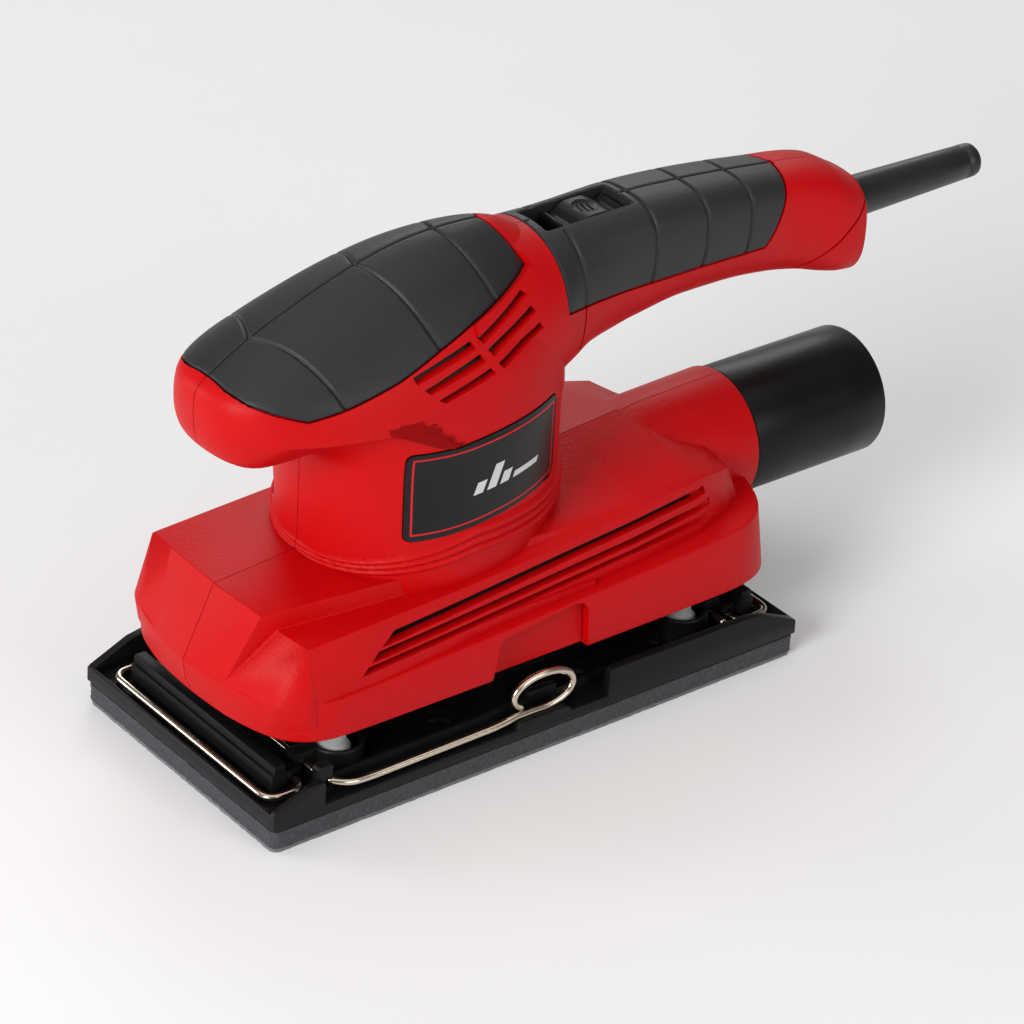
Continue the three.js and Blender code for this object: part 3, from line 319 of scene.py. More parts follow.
# ---------------------------------------------------------------- outer forms
# level, front, rear, half width, widest place, squareness, share of the underside's lift
HEAD = [
    (54.0, -55.2, 27.3, 34.4, -19.0, 2.15, 0.0),
    (88.0, -55.2, 27.3, 34.4, -19.0, 2.15, 0.0),
    (94.0, -55.6, 27.3, 34.4, -19.0, 2.15, 0.1),
    (97.3, -57.2, 27.3, 34.4, -19.5, 2.17, 0.45),
    (99.4, -60.6, 27.3, 34.4, -20.5, 2.2, 0.85),
    (100.6, -67.0, 27.3, 34.4, -22.0, 2.25, 1.0),
    (101.0, -75.6, 27.3, 34.3, -24.0, 2.35, 1.0),
    (101.6, -82.4, 27.2, 34.2, -25.5, 2.4, 0.95),
    (103.4, -87.2, 27.2, 34.0, -26.5, 2.42, 0.8),
    (106.6, -89.4, 27.0, 33.6, -27.3, 2.45, 0.5),
    (111.0, -90.4, 26.9, 32.9, -28.0, 2.5, 0.2),
    (116.5, -90.8, 26.7, 31.8, -28.0, 2.5, 0.0),
    (120.2, -90.6, 26.4, 30.6, -28.0, 2.5, 0.0),
    (122.7, -89.6, 27.0, 29.4, -28.0, 2.48, 0.0),
    (124.8, -87.3, 26.4, 28.3, -28.0, 2.42, 0.0),
    (128.5, -81.7, 25.0, 26.0, -26.0, 2.3, 0.0),
    (133.0, -73.3, 23.0, 22.9, -24.0, 2.2, 0.0),
    (138.5, -60.1, 20.0, 18.8, -21.0, 2.1, 0.0),
    (142.6, -49.0, 16.4, 14.9, -18.0, 2.0, 0.0),
    (145.6, -39.1, 11.8, 10.9, -15.5, 2.0, 0.0),
    (147.8, -29.3, 6.6, 7.0, -13.5, 2.0, 0.0),
    (148.9, -22.0, 1.0, 4.1, -12.5, 2.0, 0.0),
    (149.38, -15.6, -6.4, 1.5, -11.5, 2.0, 0.0),
]
# place, top, bottom, half width, widest level, squareness above and below
HANDLE = [
    (-16.0, 146.2, 90.0, 28.6, 117.0, 2.1, 2.1),
    (-4.0, 145.8, 90.0, 27.6, 117.0, 2.1, 2.1),
    (8.0, 144.5, 91.5, 26.0, 117.5, 2.1, 2.1),
    (18.3, 142.9, 94.0, 23.4, 118.0, 2.18, 2.1),
    (27.0, 142.7, 96.6, 19.8, 119.0, 2.5, 2.1),
    (36.0, 142.8, 100.2, 17.5, 122.5, 2.7, 2.05),
    (45.0, 142.9, 101.4, 16.2, 127.0, 2.8, 2.0),
    (55.3, 142.8, 103.2, 15.5, 130.0, 2.9, 2.0),
    (74.4, 141.6, 105.5, 14.8, 129.5, 3.15, 1.95),
    (91.6, 139.9, 105.1, 13.8, 129.0, 3.2, 1.95),
    (106.0, 138.1, 103.7, 13.3, 127.5, 3.05, 2.0),
    (118.0, 136.6, 101.8, 14.2, 123.5, 2.9, 2.2),
    (127.0, 134.5, 99.4, 15.1, 119.5, 2.75, 2.5),
    (131.0, 132.4, 98.7, 15.2, 117.0, 2.7, 2.7),
    (135.6, 129.6, 98.3, 14.6, 114.5, 2.7, 2.8),
]
HANDLE_END = 138.7


def head_form(name, inset=0.0, rows=150, sides=220):
    """Level outlines stacked into the head and its column, closed at the crown.
    x = m + reach * C(t), y = half * S(t), with C and S the superellipse's cosine and sine."""
    key = np.concatenate([[0], np.cumsum(np.hypot(
        np.diff([r[0] for r in HEAD]), 0.6 * np.diff([r[1] for r in HEAD])
    ))])
    table = np.column_stack([key, HEAD])
    u = np.unique(np.concatenate([np.linspace(0, key[-1], rows), np.linspace(5.5, 21.5, 52)]))
    t = np.linspace(0, 2 * math.pi, sides, endpoint=False) + math.pi / sides
    rings = []
    for z, front, rear, half, middle, n, share in smooth(table, u):
        c, s = power(np.cos(t), n), power(np.sin(t), n)
        reach = np.where(c > 0, rear - middle, middle - front)
        lift = 9.5 * share * ease(np.sin(t) ** 2, 0.08, 0.5) * ease(-np.cos(t), 0.0, 0.35)
        bead = column_beads(middle + reach * c, z)
        rings.append(np.column_stack([middle + (reach + bead) * c, (half + bead) * s, z + lift]))
    return skin(name, offset_rings(rings, inset))


def column_beads(x, z):
    """Three half-round beads at the foot of the column, which spread out from front to side.
    q runs from 0 at the front to 1 at the side: h = height(q) |sin(pi (z - low(q)) / pitch(q))|^0.6."""
    q = np.clip((x + 56.0) / 36.0, 0.0, 1.0)
    low, pitch = 60.8 + 5.4 * q, 1.2 + 1.65 * q
    k = (z - low) / pitch
    height = 0.55 + 0.75 * q
    return np.where((k > 0) & (k < 3), height * np.abs(np.sin(math.pi * k)) ** 0.6, 0.0)


def offset_rings(rings, inset):
    """Rings moved inwards along the skin's normals."""
    rings = np.asarray(rings, float)
    if not inset:
        return rings
    along = np.gradient(rings, axis=0)
    round_ = np.roll(rings, -1, axis=1) - np.roll(rings, 1, axis=1)
    normal = np.cross(round_, along)
    normal /= np.maximum(np.linalg.norm(normal, axis=2, keepdims=True), 1e-9)
    outward = rings - rings.mean(axis=1, keepdims=True)
    if (normal * outward).sum() < 0:
        normal = -normal
    return rings - inset * normal


def handle_form(name, inset=0.0, sides=120):
    """Upright outlines along the handle, closed by a rounded end.
    Past the last outline each one shrinks to its middle by k = (1 - d^2.2)^(1/2.2)."""
    x0 = HANDLE[-1][0]
    body = np.linspace(HANDLE[0][0], x0, 130)
    tail = x0 + (HANDLE_END - x0) * np.sin(np.linspace(0, math.pi / 2, 26)[1:])
    t = np.linspace(0, 2 * math.pi, sides, endpoint=False) + math.pi / sides
    rings = []
    for x in np.concatenate([body, tail]):
        top, bottom, half, wide, above, below = smooth(HANDLE, x)[0]
        d = max(0.0, (x - x0) / (HANDLE_END - x0))
        k = max(1 - d**2.2, 1e-4) ** (1 / 2.2)
        c, s = np.cos(t), np.sin(t)
        y = half * k * np.where(s > 0, power(c, above), power(c, below))
        z = wide + k * np.where(s > 0, (top - wide) * power(s, above), (wide - bottom) * power(s, below))
        rings.append(np.column_stack([np.full_like(y, x), y, z]))
    return skin(name, offset_rings(rings, inset))


# ---------------------------------------------------------------- skirt
def band_top(x):
    return 38.2 + (x + 92.6) / 187.6 * 10.0


BAND_LOW = [(-89.8, 0), (-89.2, 13.4), (-87.1, 24.8), (-83.5, 33.7), (-79.6, 37.7), (-74.9, 40.3), (-69.2, 41.6),
            (-55, 42.0), (0, 42.2), (50, 42.0), (70, 41.6), (
                78.4, 40.4
            ), (84.6, 37.8), (89.0, 33.6), (92.4, 27.0),
            (94.6, 19.0), (95.8, 9.0), (96.1, 0)]
BAND_HIGH = [(-92.6, 0), (-90.4, 16), (-87.4, 28.4), (-83.6, 34.6), (-79.6, 38.2), (-75.0, 40.4), (-69.2, 41.6),
             (-55, 42.0), (0, 42.2), (50, 42.0), (67, 41.3), (
                 75.2, 40.1
             ), (81.4, 37.4), (86.0, 33.2), (89.8, 26.8),
             (92.6, 18.8), (94.4, 9.0), (94.8, 0)]


def loop_of(half, count, shrink=0.0):
    """A closed outline through a half outline and its mirror image, by arc length, moved inwards."""
    half = np.asarray(half, float)
    full = np.vstack([half, half[-2:0:-1] * [1, -1]])
    full = np.vstack([full, full[:1]])
    s = np.concatenate([[0], np.cumsum(np.linalg.norm(np.diff(full, axis=0), axis=1))])
    pad = 3
    ss = np.concatenate([s[-1 - pad : -1] - s[-1], s, s[1 : 1 + pad] + s[-1]])
    ff = np.vstack([full[-1 - pad : -1], full, full[1 : 1 + pad]])
    at = smooth(np.column_stack([ss, ff]), np.linspace(0, s[-1], count, endpoint=False))
    if shrink:
        tangent = np.roll(at, -1, axis=0) - np.roll(at, 1, axis=0)
        normal = np.column_stack([tangent[:, 1], -tangent[:, 0]])
        normal /= np.linalg.norm(normal, axis=1, keepdims=True)
        if (normal * at).sum() < 0:
            normal = -normal
        at = at - shrink * normal
    return at


def band_form(name, shrink=0.0, bottom=27.0, drop=0.0):
    low, high = loop_of(BAND_LOW, 260, shrink), loop_of(BAND_HIGH, 260, shrink)
    top = np.array([band_top(x) for x in high[:, 0]]) - drop
    rings = [np.column_stack([low, np.full(len(low), bottom)]), np.column_stack([high, top])]
    return skin(name, rings)


# spine, step top, step foot, outer crease and ledge of the upper skirt, station by station
STATIONS = [
    [(-82.8, 0, 59.7), (-82.4, 21.7, 60.0), (-77.2, 22.4, 54.5), (-77.6, 37.0, 55.7), (-76.0, 40.0, 38.6)],
    [(-57.5, 0, 61.8), (-58.6, 26.0, 61.1), (-58.6, 26.7, 56.0), (-57.8, 37.2, 56.6), (-57.7, 40.9, 39.8)],
    [(-39.5, 0, 63.3), (-40.7, 28.5, 61.3), (-40.7, 29.1, 56.6), (-40.0, 37.3, 57.4), (-39.8, 40.2, 40.9)],
    [(-26.0, 0, 64.4), (-27.3, 29.6, 61.5), (-27.3, 30.1, 57.4), (-26.7, 37.2, 57.9), (-26.4, 39.6, 41.8)],
    [(-6.7, 0, 66.1), (-8.1, 30.6, 61.7), (-8.1, 31.1, 58.8), (-7.6, 36.7, 58.5), (-7.2, 38.8, 42.9)],
    [(13.0, 0, 67.7), (11.4, 31.9, 62.1), (11.4, 32.4, 61.1), (11.8, 36.1, 59.6), (12.3, 38.0, 44.1)],
    [(40.6, 0, 70.0), (38.7, 32.9, 63.3), (38.7, 33.6, 62.9), (39.0, 35.3, 62.1), (39.8, 36.8, 45.7)],
    [(58.4, 0, 71.5), (58.6, 31.3, 64.9), (59.6, 32.3, 64.5), (60.7, 34.1, 64.0), (61.3, 35.8, 46.8)],
    [(66.5, 0, 67.2), (69.2, 29.0, 63.4), (71.4, 30.0, 62.6), (73.4, 31.0, 62.0), (75.7, 31.3, 47.2)],
    [(79.5, 0, 62.0), (79.2, 13.0, 61.5), (79.5, 20.0, 59.6), (79.8, 25.4, 58.2), (83.6, 26.6, 47.4)],
]


def upper_skirt(name, inset=0.0):
    """The upper skirt as flat facets between measured stations, with a coned front corner.
    Its foot is sunk into the band and its rear face drops behind the dust port."""
    s = np.array(STATIONS, float)
    foot = s[:, 4:5].copy()
    foot[:, :, 2] -= 7
    foot[:, :, 1] -= 1.0
    half = np.concatenate([s, foot], axis=1)
    rows, cols = half.shape[:2]
    verts, index = [], {}

    def vertex(point):
        key = tuple(np.round(point, 4))
        if key not in index:
            index[key] = len(verts)
            verts.append(key)
        return index[key]

    def mirror(point):
        return (point[0], -point[1], point[2])

    faces = []

    def face(*points):
        faces.append([vertex(p) for p in points])
        faces.append([vertex(mirror(p)) for p in points[::-1]])

    for i in range(rows - 1):
        for j in range(cols - 1):
            a, b, c, d = half[i, j], half[i, j + 1], half[i + 1, j + 1], half[i + 1, j]
            if j in (1, 2, 3, 4):
                face(a, b, c, d)
            else:
                face(a, b, c)
                face(a, c, d)
    # front: the nose face, the dark cheek beside it, the shelf's front and its coned corner
    crest, corner, cheek, shelf, ledge, sunk = half[0]
    nose, nose_side, shelf_side = np.array([-92.6, 0, 38.2]), np.array([-90.2, 16, 38.2]), np.array([
        -87.0, 28.6, 38.4
    ])
    down = np.array([1.2, 0, -7])
    arc = []
    centre, radius = np.array([-75.0, 28.6]), 11.8
    for a in np.linspace(0, math.pi / 2, 12):
        x = centre[0] - 12.0 * math.cos(a)
        y = centre[1] + radius * math.sin(a)
        arc.append(np.array([x, y, 38.4 + 0.3 * a]))
    arc[0], arc[-1] = shelf_side, ledge
    face(crest, nose, nose_side, corner)
    face(corner, nose_side, cheek)
    face(cheek, nose_side, shelf_side, shelf)
    for p, q in zip(arc[:-1], arc[1:]):
        face(shelf, p, q)
    rim = [nose, nose_side, *arc]
    below = [p + down * [1, 1, 1] for p in rim[:-1]] + [sunk]
    for p, q, lp, lq in zip(rim[:-1], rim[1:], below[:-1], below[1:]):
        face(p, lp, lq, q)
    # rear face and the sunk floor
    back = half[-1]
    floor_rear = np.array([86.0, 0, back[-1][2]])
    edge = np.array([86.0, 14.0, back[-1][2]])
    face(back[0], back[1], edge, floor_rear)
    face(back[1], back[2], back[3], back[4], back[5], edge)
    base = below + [half[i, -1] for i in range(1, rows)] + [edge, floor_rear]
    loop = [vertex(p) for p in base] + [vertex(mirror(p)) for p in base[-2:0:-1]]
    faces.append(loop[::-1])
    flat = np.array(verts)
    if inset:
        middle = np.array([0.0, 0.0, 30.0])
        reach = np.array([88.0, 38.0, 30.0])
        flat = middle + (flat - middle) * (1 - inset / reach)
    obj = build(name, flat, faces, 20)
    return obj


def mirrored(obj, name):
    """A copy mirrored in the plane y = 0, faces still turned out."""
    copy = bpy.data.objects.new(name, obj.data.copy())
    bpy.context.scene.collection.objects.link(copy)
    copy.data.transform(Matrix.Scale(-1, 4, (0, 1, 0)))
    copy.data.flip_normals()
    return copy


def half_turned(obj, name):
    """A copy turned half round the vertical axis."""
    copy = bpy.data.objects.new(name, obj.data.copy())
    bpy.context.scene.collection.objects.link(copy)
    copy.data.transform(Matrix.Rotation(math.pi, 4, "Z"))
    return copy


# ---------------------------------------------------------------- soft grips
def tree_of(obj):
    mesh = obj.data
    return BVHTree.FromPolygons([v.co / MM for v in mesh.vertices], [p.vertices for p in mesh.polygons])


def touch(tree, x, angle, level):
    """Where a ray in the plane x, coming in at an angle above the horizontal, meets the skin."""
    out = Vector((0, -math.cos(angle), math.sin(angle)))
    hit = tree.ray_cast(Vector((x, 0, level)) + out * 90, -out)[0]
    return np.array(hit) if hit else np.array([x, 0.0, level])


def spread(total, marks, step, near):
    """Positions from 0 to total at a coarse step, with extra ones beside each mark and both ends."""
    fine = [d for m in [*marks, 0.0, total] for d in (m + near * np.array([
        -2.2, -1.5, -1, -0.7, -0.4, -0.2, 0, 0.2, 0.4, 0.7, 1, 1.5, 2.2
    ]))]
    base = np.arange(0, total, step)
    clear = [b for b in base if min(abs(b - f) for f in fine) > near * 0.6]
    return np.unique(np.round([f for f in fine if 0 <= f <= total] + clear + [0, total], 4))


def patch(name, tree, level, edge, middle, marks, grow=0.0, lift=0.0, depth=1.6):
    """A soft panel on one side of the body, from the crown line down to its lower edge.
    u runs along it and v down it; x = lerp(middle(u), edge(u), v), and each point lies where
    a ray at the angle a = 90 + v (a_edge(u) - 90) meets the skin. Its border and grooves sink by
    r - sqrt(r^2 - (r - d)^2) and depth * exp(-(d / w)^2) of the distance d to them."""
    length = float(np.ptp([p[0] for p in middle]))
    u = spread(1.0, marks, 0.012, 1.0 / length) if not grow else np.linspace(0, 1, 130)
    u = np.unique(np.concatenate([u, [p[-1] for p in edge]]))
    v = spread(1.0, [], 0.03, 1.0 / 34) if not grow else np.linspace(-0.04, 1, 50)
    places = np.column_stack([smooth_line(edge, u), smooth_line(middle, u)[:, :1]])
    points = np.zeros((len(u), len(v), 3))
    for i, (ex, ez, mx) in enumerate(places):
        scan = np.radians(np.linspace(-25, 90, 47))
        heights = [touch(tree, ex, a, level)[2] for a in scan]
        top = np.maximum.accumulate(heights)
        low = np.interp(ez - grow, top + np.arange(47) * 1e-6, scan)
        for j, w in enumerate(v):
            stretch = mx + (ex - mx) * w
            stretch += grow * (2 * u[i] - 1) * 1.0
            points[i, j] = touch(tree, stretch, math.pi / 2 + w * (low - math.pi / 2), level)
    du, dv = np.gradient(points, axis=0), np.gradient(points, axis=1)
    normal = np.cross(du, dv)
    normal /= np.maximum(np.linalg.norm(normal, axis=2, keepdims=True), 1e-9)
    if normal[..., 2].mean() < 0:
        normal = -normal
    sink = np.zeros(points.shape[:2])
    if not grow:
        rim = np.concatenate([points[0], points[-1], points[:, 0], points[:, -1]])
        d = np.sqrt(((points[:, :, None] - rim[None, None]) ** 2).sum(-1)).min(-1)
        r = 0.9
        near = np.clip(r - d, 0, r)
        sink += r - np.sqrt(r * r - near * near)
        for m in marks:
            line = np.array([[np.interp(m, u, points[:, j, k]) for k in range(3)] for j in range(len(v))])
            d = np.sqrt(((points[:, :, None] - line[None, None]) ** 2).sum(-1)).min(-1)
            sink += 0.75 * np.exp(-((d / 0.5) ** 2))
    outer = points + normal * (lift - sink[..., None])
    inner = points - normal * depth
    rows, cols = points.shape[:2]
    index = np.arange(rows * cols).reshape(rows, cols)
    quads = np.stack([index[:-1, :-1], index[1:, :-1], index[1:, 1:], index[:-1, 1:]], -1).reshape(-1, 4)
    under = quads[:, ::-1] + rows * cols
    ring = np.concatenate([index[0, :-1], index[:-1, -1], index[-1, :0:-1], index[:0:-1, 0]])
    nxt = np.roll(ring, -1)
    side = np.stack([ring, nxt, nxt + rows * cols, ring + rows * cols], -1)
    verts = np.concatenate([outer.reshape(-1, 3), inner.reshape(-1, 3)])
    return build(name, verts, np.concatenate([quads, under, side]).tolist(), 40)


def smooth_line(points, u):
    """Points (x, z, share) read at shares u, straight between them."""
    p = np.asarray(points, float)
    return np.column_stack([np.interp(u, p[:, -1], p[:, k]) for k in range(p.shape[1] - 1)])


# x, height and share of the length along each lower edge and each crown line
HEAD_EDGE = [(-86.4, 124.8, 0), (-84.0, 123.0, 0.04), (-79.2, 121.0, 0.08), (-71.2, 118.5, 0.12), (-60.9, 120.2, 0.19),
             (
                 -43.0, 124.0, 0.38
             ), (-28.5, 128.2, 0.55), (-18.4, 131.0, 0.69), (-6.0, 134.2, 0.83), (5.4, 137.4, 0.95),
             (9.0, 138.6, 1)]
HEAD_CROWN = [(-86.4, 0), (-73.5, 0.19), (-39.2, 0.55), (-13.2, 0.83), (-1.0, 0.95), (2.4, 1)]
HEAD_MARKS = [0.19, 0.55, 0.83]
HANDLE_EDGE = [
    (18.5, 124.2, 0), (27.0, 122.5, 0.1), (55.0, 119.7, 0.42), (74.4, 119.0, 0.64), (91.6, 117.9, 0.84),
    (99.2, 117.8, 1)
]
HANDLE_CROWN = [(18.5, 0), (27.0, 0.1), (55.2, 0.42), (74.4, 0.64), (91.6, 0.84), (109.5, 1)]
HANDLE_MARKS = [0.1, 0.42, 0.64, 0.84]

head = head_form("head")
handle = handle_form("handle")
head_tree, handle_tree = tree_of(head), tree_of(handle)


# ---------------------------------------------------------------- housing
def recess(tree, level, edge, middle, deep):
    """The space a soft panel fills on both sides, with a thin gap round it."""
    left = patch("recess", tree, level, edge, middle, [], grow=0.3, lift=3.0, depth=deep)
    return [left, mirrored(left, "recess_right")]


def plate_points(tree, grow=0.0):
    """The name plate's skin on the column, from corner to corner, found along level rays."""
    u, v = np.linspace(0, 1, 70), 0.5 - 0.5 * np.cos(np.linspace(0, math.pi, 44))
    points = np.zeros((len(u), len(v), 3))
    for i, a in enumerate(u):
        for j, b in enumerate(v):
            past = max(0.0, abs(b - 0.5) * LABEL_HEIGHT - (LABEL_HEIGHT / 2 - LABEL_CORNER))
            cut = LABEL_CORNER - math.sqrt(max(LABEL_CORNER**2 - past**2, 0))
            low_x, high_x = -40.5 - 0.3 * b - grow + cut, 12.5 - 0.5 * b + grow - cut
            x = low_x + a * (high_x - low_x)
            z = (1 - b) * (73.5 - grow + 4.9 * a) + b * (100.8 + grow + 2.8 * a)
            points[i, j] = touch(tree, x, 0.0, z)
    return u, v, points


def plate(name, tree, grow, lift, depth):
    u, v, points = plate_points(tree, grow)
    rows, cols = points.shape[:2]
    du, dv = np.gradient(points, axis=0), np.gradient(points, axis=1)
    normal = np.cross(du, dv)
    normal[..., 2] = 0
    normal /= np.linalg.norm(normal, axis=2, keepdims=True)
    if normal[..., 1].mean() > 0:
        normal = -normal
    index = np.arange(rows * cols).reshape(rows, cols)
    quads = np.stack([index[:-1, :-1], index[1:, :-1], index[1:, 1:], index[:-1, 1:]], -1).reshape(-1, 4)
    ring = np.concatenate([index[0, :-1], index[:-1, -1], index[-1, :0:-1], index[:0:-1, 0]])
    nxt = np.roll(ring, -1)
    side = np.stack([ring, nxt, nxt + rows * cols, ring + rows * cols], -1)
    verts = np.concatenate([
        (points + lift * normal).reshape(-1, 3), (points - depth * normal).reshape(-1, 3)
    ])
    faces = np.concatenate([quads, quads[:, ::-1] + rows * cols, side]).tolist()
    obj = build(name, verts, faces, 40)
    across = np.array([LABEL_WIDTH * a for a in u])[:, None] + 0 * v[None]
    up = LABEL_HEIGHT * v[None] + 0 * u[:, None]
    flat = np.column_stack([across.ravel(), up.ravel()])
    flat = np.concatenate([flat, flat])
    layer = obj.data.uv_layers.new(name="plate")
    corner = np.zeros(len(obj.data.loops), int)
    obj.data.loops.foreach_get("vertex_index", corner)
    layer.data.foreach_set("uv", flat[corner].ravel())
    return obj


LOUVRES = [
    [(-49.3, 53.1), (33.5, 58.9), (33.4, 55.9), (-53.8, 49.4)],
    [(-54.9, 48.6), (34.7, 53.6), (35.0, 51.4), (-57.7, 46.0)],
    [(-58.8, 45.2), (36.1, 50.1), (36.1, 48.4), (-61.1, 43.1)],
]
BLIND = [
    [(33.5, 58.9), (63.2, 61.2), (64.6, 58.2), (33.4, 55.9)],
    [(34.7, 53.6), (66.0, 56.3), (66.8, 53.8), (35.0, 51.4)],
    [(36.1, 50.1), (67.3, 52.7), (68.7, 49.9), (36.1, 48.4)],
]
VENTS = [
    [(-39.6, 124.1), (-18.8, 128.2), (-17.3, 125.9), (-38.7, 121.9)],
    [(-36.9, 120.3), (-16.8, 124.6), (-15.2, 122.2), (-34.9, 118.6)],
    [(-32.9, 116.6), (-14.3, 120.5), (-12.6, 118.4), (-30.5, 115.2)],
    [(-16.4, 128.5), (1.8, 135.6), (3.9, 133.9), (-14.8, 126.5)],
    [(-13.9, 124.8), (4.0, 131.4), (5.6, 129.2), (-12.1, 122.6)],
    [(-11.3, 120.9), (6.1, 126.4), (7.4, 124.3), (-9.6, 118.8)],
]


def slot_cuts(side):
    """Prisms along y through the skin: open louvres, blind ones behind them, and the head's vents."""
    cuts = []
    for outlines, near in ((LOUVRES, 31.0), (BLIND, 0.0), (VENTS, 12.0)):
        for k, outline in enumerate(outlines):
            depth = near or 32.0 + 0.9 * k
            low, high = (depth, 60.0) if side > 0 else (-60.0, -depth)
            cuts.append(prism("slot", outline, low, high, "y", 0.18))
    return cuts


def finger_notch(side):
    outline = [
        (-17.4, 25.0), (-14.6, 39.3), (-13.6, 40.1), (11.0, 43.2), (14.6, 42.4), (16.4, 40.0),
        (17.4, 25.0)
    ]
    low, high = (38.6, 60.0) if side > 0 else (-60.0, -38.6)
    return prism("notch", outline, low, high, "y", 0.6)


def screw_places():
    """Every clamshell screw's place, along x and z, and its head's outer level along y."""
    names = [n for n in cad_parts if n.startswith("screw_")]
    places = {}
    for n in names:
        lo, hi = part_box(n)
        sink = 3.0 if "handle" in n else 4.5 if "column_front" in n else 3.8 if "column_rear" in n else 1.2
        places[n] = ((lo.x + hi.x) / 2 / MM, (lo.z + hi.z) / 2 / MM, lo.y / MM, hi.y / MM - sink)
    return places


PORT = [(0, 17.6), (2, 18.6), (7, 19.5), (38.6, 20.4), (39.2, 20.2), (39.5, 19.8), (39.5, 10), (0, 10)]


def core(name, inset):
    """The inside of the housing: every outer form moved in by the wall's thickness, as one solid."""
    return combine(
        head_form(name, inset, 90, 120),
        [
            handle_form(name, inset, 60),
            upper_skirt(name, inset),
            band_form(name, inset + 0.2, 27.0 - 7 * (inset > 2), inset),
            turned(name, [(0, 20.4 - inset), (60 if inset > 2 else 38, 20.4 - inset)], (50.0, 0, PORT_Z)),
        ],
        "UNION",
    )


def skin_groove(name, outline, form):
    """A thin slab cut down to the form below it, so that it only marks the skin."""
    return combine(prism(name, outline, -30, 30, "y"), [form])


def make_housing():
    """Union of the outer forms, hollowed, fitted with bosses, cut, and split along y = 0."""
    upper = round_edges(upper_skirt("upper"), 0.7, 24)
    band = round_edges(band_form("band"), 0.9, 35)
    port = turned("port", PORT, (57.5, 0, PORT_Z))
    plug = turned("plug", [(0, 11.0), (38.8, 11.0)], (57.8, 0, PORT_Z))
    collar = turned("collar", [(0, 8.6), (7.0, 8.6), (7.5, 8.1)], (132.4, 0, SLEEVE_Z))
    body = combine(head, [handle, upper, band, port, plug, collar], "UNION")
    combine(body, [core("hollow", 2.6)])
    seat = turned("seat", [(0, 12.5), (11.2, 12.5)], (125.5, 0, SLEEVE_Z))
    bosses = [
        turned("boss", [(0, 5.2), (2 * (hi - 2.6), 5.2)], (x, -(hi - 2.6), z), (0, 1, 0), 40) for x, z,
        lo, hi in screw_places().values()
    ]
    combine(seat, bosses, "UNION")
    combine(seat, [core("limit", 1.0)], "INTERSECT")
    backs = [block("notch_back", -21, 21, y, y + 3.3, 27, 46) for y in (-38.9, 35.6)]
    combine(body, [seat, *backs], "UNION")
    cuts = recess(head_tree, 112.0, HEAD_EDGE, HEAD_CROWN, 1.9) + recess(
        handle_tree, 118.0, HANDLE_EDGE, HANDLE_CROWN, 1.9
    )
    label = plate("label", head_tree, 0.3, 3.0, 0.9)
    cuts += [label, mirrored(label, "label_right")]
    for side in (-1, 1):
        cuts += [*slot_cuts(side), finger_notch(side)]
    cuts.append(block("switch_room", 20.4, 53.4, -8.1, 8.1, 120, 160, 1.2))
    cuts.append(turned(
        "sleeve_room", [(0, 7.25), (3.6, 7.25), (3.6, 9.8), (7.2, 9.8), (7.2, 7.25), (30, 7.25)],
        (124.0, 0, SLEEVE_Z), sides=64
    ))
    cuts.append(skin_groove(
        "groove", [(136.5, 124.6), (137.0, 123.9), (111.5, 99.0), (111.0, 99.7)],
        handle_form("under", 0.7)
    ))
    cuts.append(skin_groove(
        "groove", [(26.7, 124), (27.3, 124), (27.3, 108), (26.7, 108)], handle_form("under", 0.7)
    ))
    for x, z, lo, hi in screw_places().values():
        cuts.append(turned(
            "screw_room", [(0, 2.2), (hi - lo - 2.4, 2.2), (hi - lo - 2.4, 4.2), (60, 4.2)],
            (x, lo - 0.2, z), (0, 1, 0), 40
        ))
    combine(body, cuts)
    right = bpy.data.objects.new("housing_right_shell", body.data.copy())
    bpy.context.scene.collection.objects.link(right)
    combine(body, [block("far", -300, 300, -0.14, 300, -50, 300)])
    combine(right, [block("near", -300, 300, -300, 0.14, -50, 300)])
    body.name = "housing_left_shell"
    for half in (body, right):
        shade(half, 26)
    return body, right


def finish_piece(obj, material, body, slot, *nodes):
    """Gives a piece its material, the CAD body it moves with and the CAD nodes it stands for."""
    obj.data.materials.clear()
    obj.data.materials.append(material)
    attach(obj, body)
    if nodes:
        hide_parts(*nodes)
    return obj


switch_cut = block("switch_cut", 21.2, 52.9, -7.3, 7.3, 120, 160, 1.2)
head_panel = patch("head_panel_left", head_tree, 112.0, HEAD_EDGE, HEAD_CROWN, HEAD_MARKS)
handle_panel = patch("handle_panel_left", handle_tree, 118.0, HANDLE_EDGE, HANDLE_CROWN, HANDLE_MARKS)
combine(handle_panel, [switch_cut])
liner = block("liner", 20.7, 53.1, -7.8, 7.8, 132, 160, 1.0)
combine(liner, [handle_form("liner_limit", 0.25)], "INTERSECT")
combine(liner, [block("liner_room", 21.6, 52.5, -6.7, 6.7, 120, 160, 1.0)])
combine(handle_panel, [liner], "UNION")
name_plate = plate("name_plate_skin_left", head_tree, 0.0, 0.35, 0.6)
seam_left = block("seam", -300, 300, -0.1, 300, -50, 300)
seam_again = block("seam", -300, 300, -0.1, 300, -50, 300)
combine(head_panel, [seam_left])
combine(handle_panel, [seam_again])
shade(head_panel, 40)
shade(handle_panel, 40)
left_half, right_half = make_housing()


def painted_shade_liner(name, side):
    """A thin dark liner against the inside of the shell that closes the louvres and the head's vents from behind:
    painted shade where the open inside would lie in shadow.
    """
    low, high = (24.0, 60.0) if side > 0 else (-60.0, -24.0)
    near, far = (6.0, 60.0) if side > 0 else (-60.0, -6.0)
    room = block("louvre_room", -68, 72, low, high, 41.5, 62.5)
    combine(room, [block("vent_room", -46, 12, near, far, 113, 140)], "UNION")
    liner_shell = core(name, 2.4)
    combine(liner_shell, [core("liner_inside", 3.3)])
    combine(liner_shell, [room], "INTERSECT")
    return finish_piece(liner_shell, black_nylon, "housing", "black_plastic")
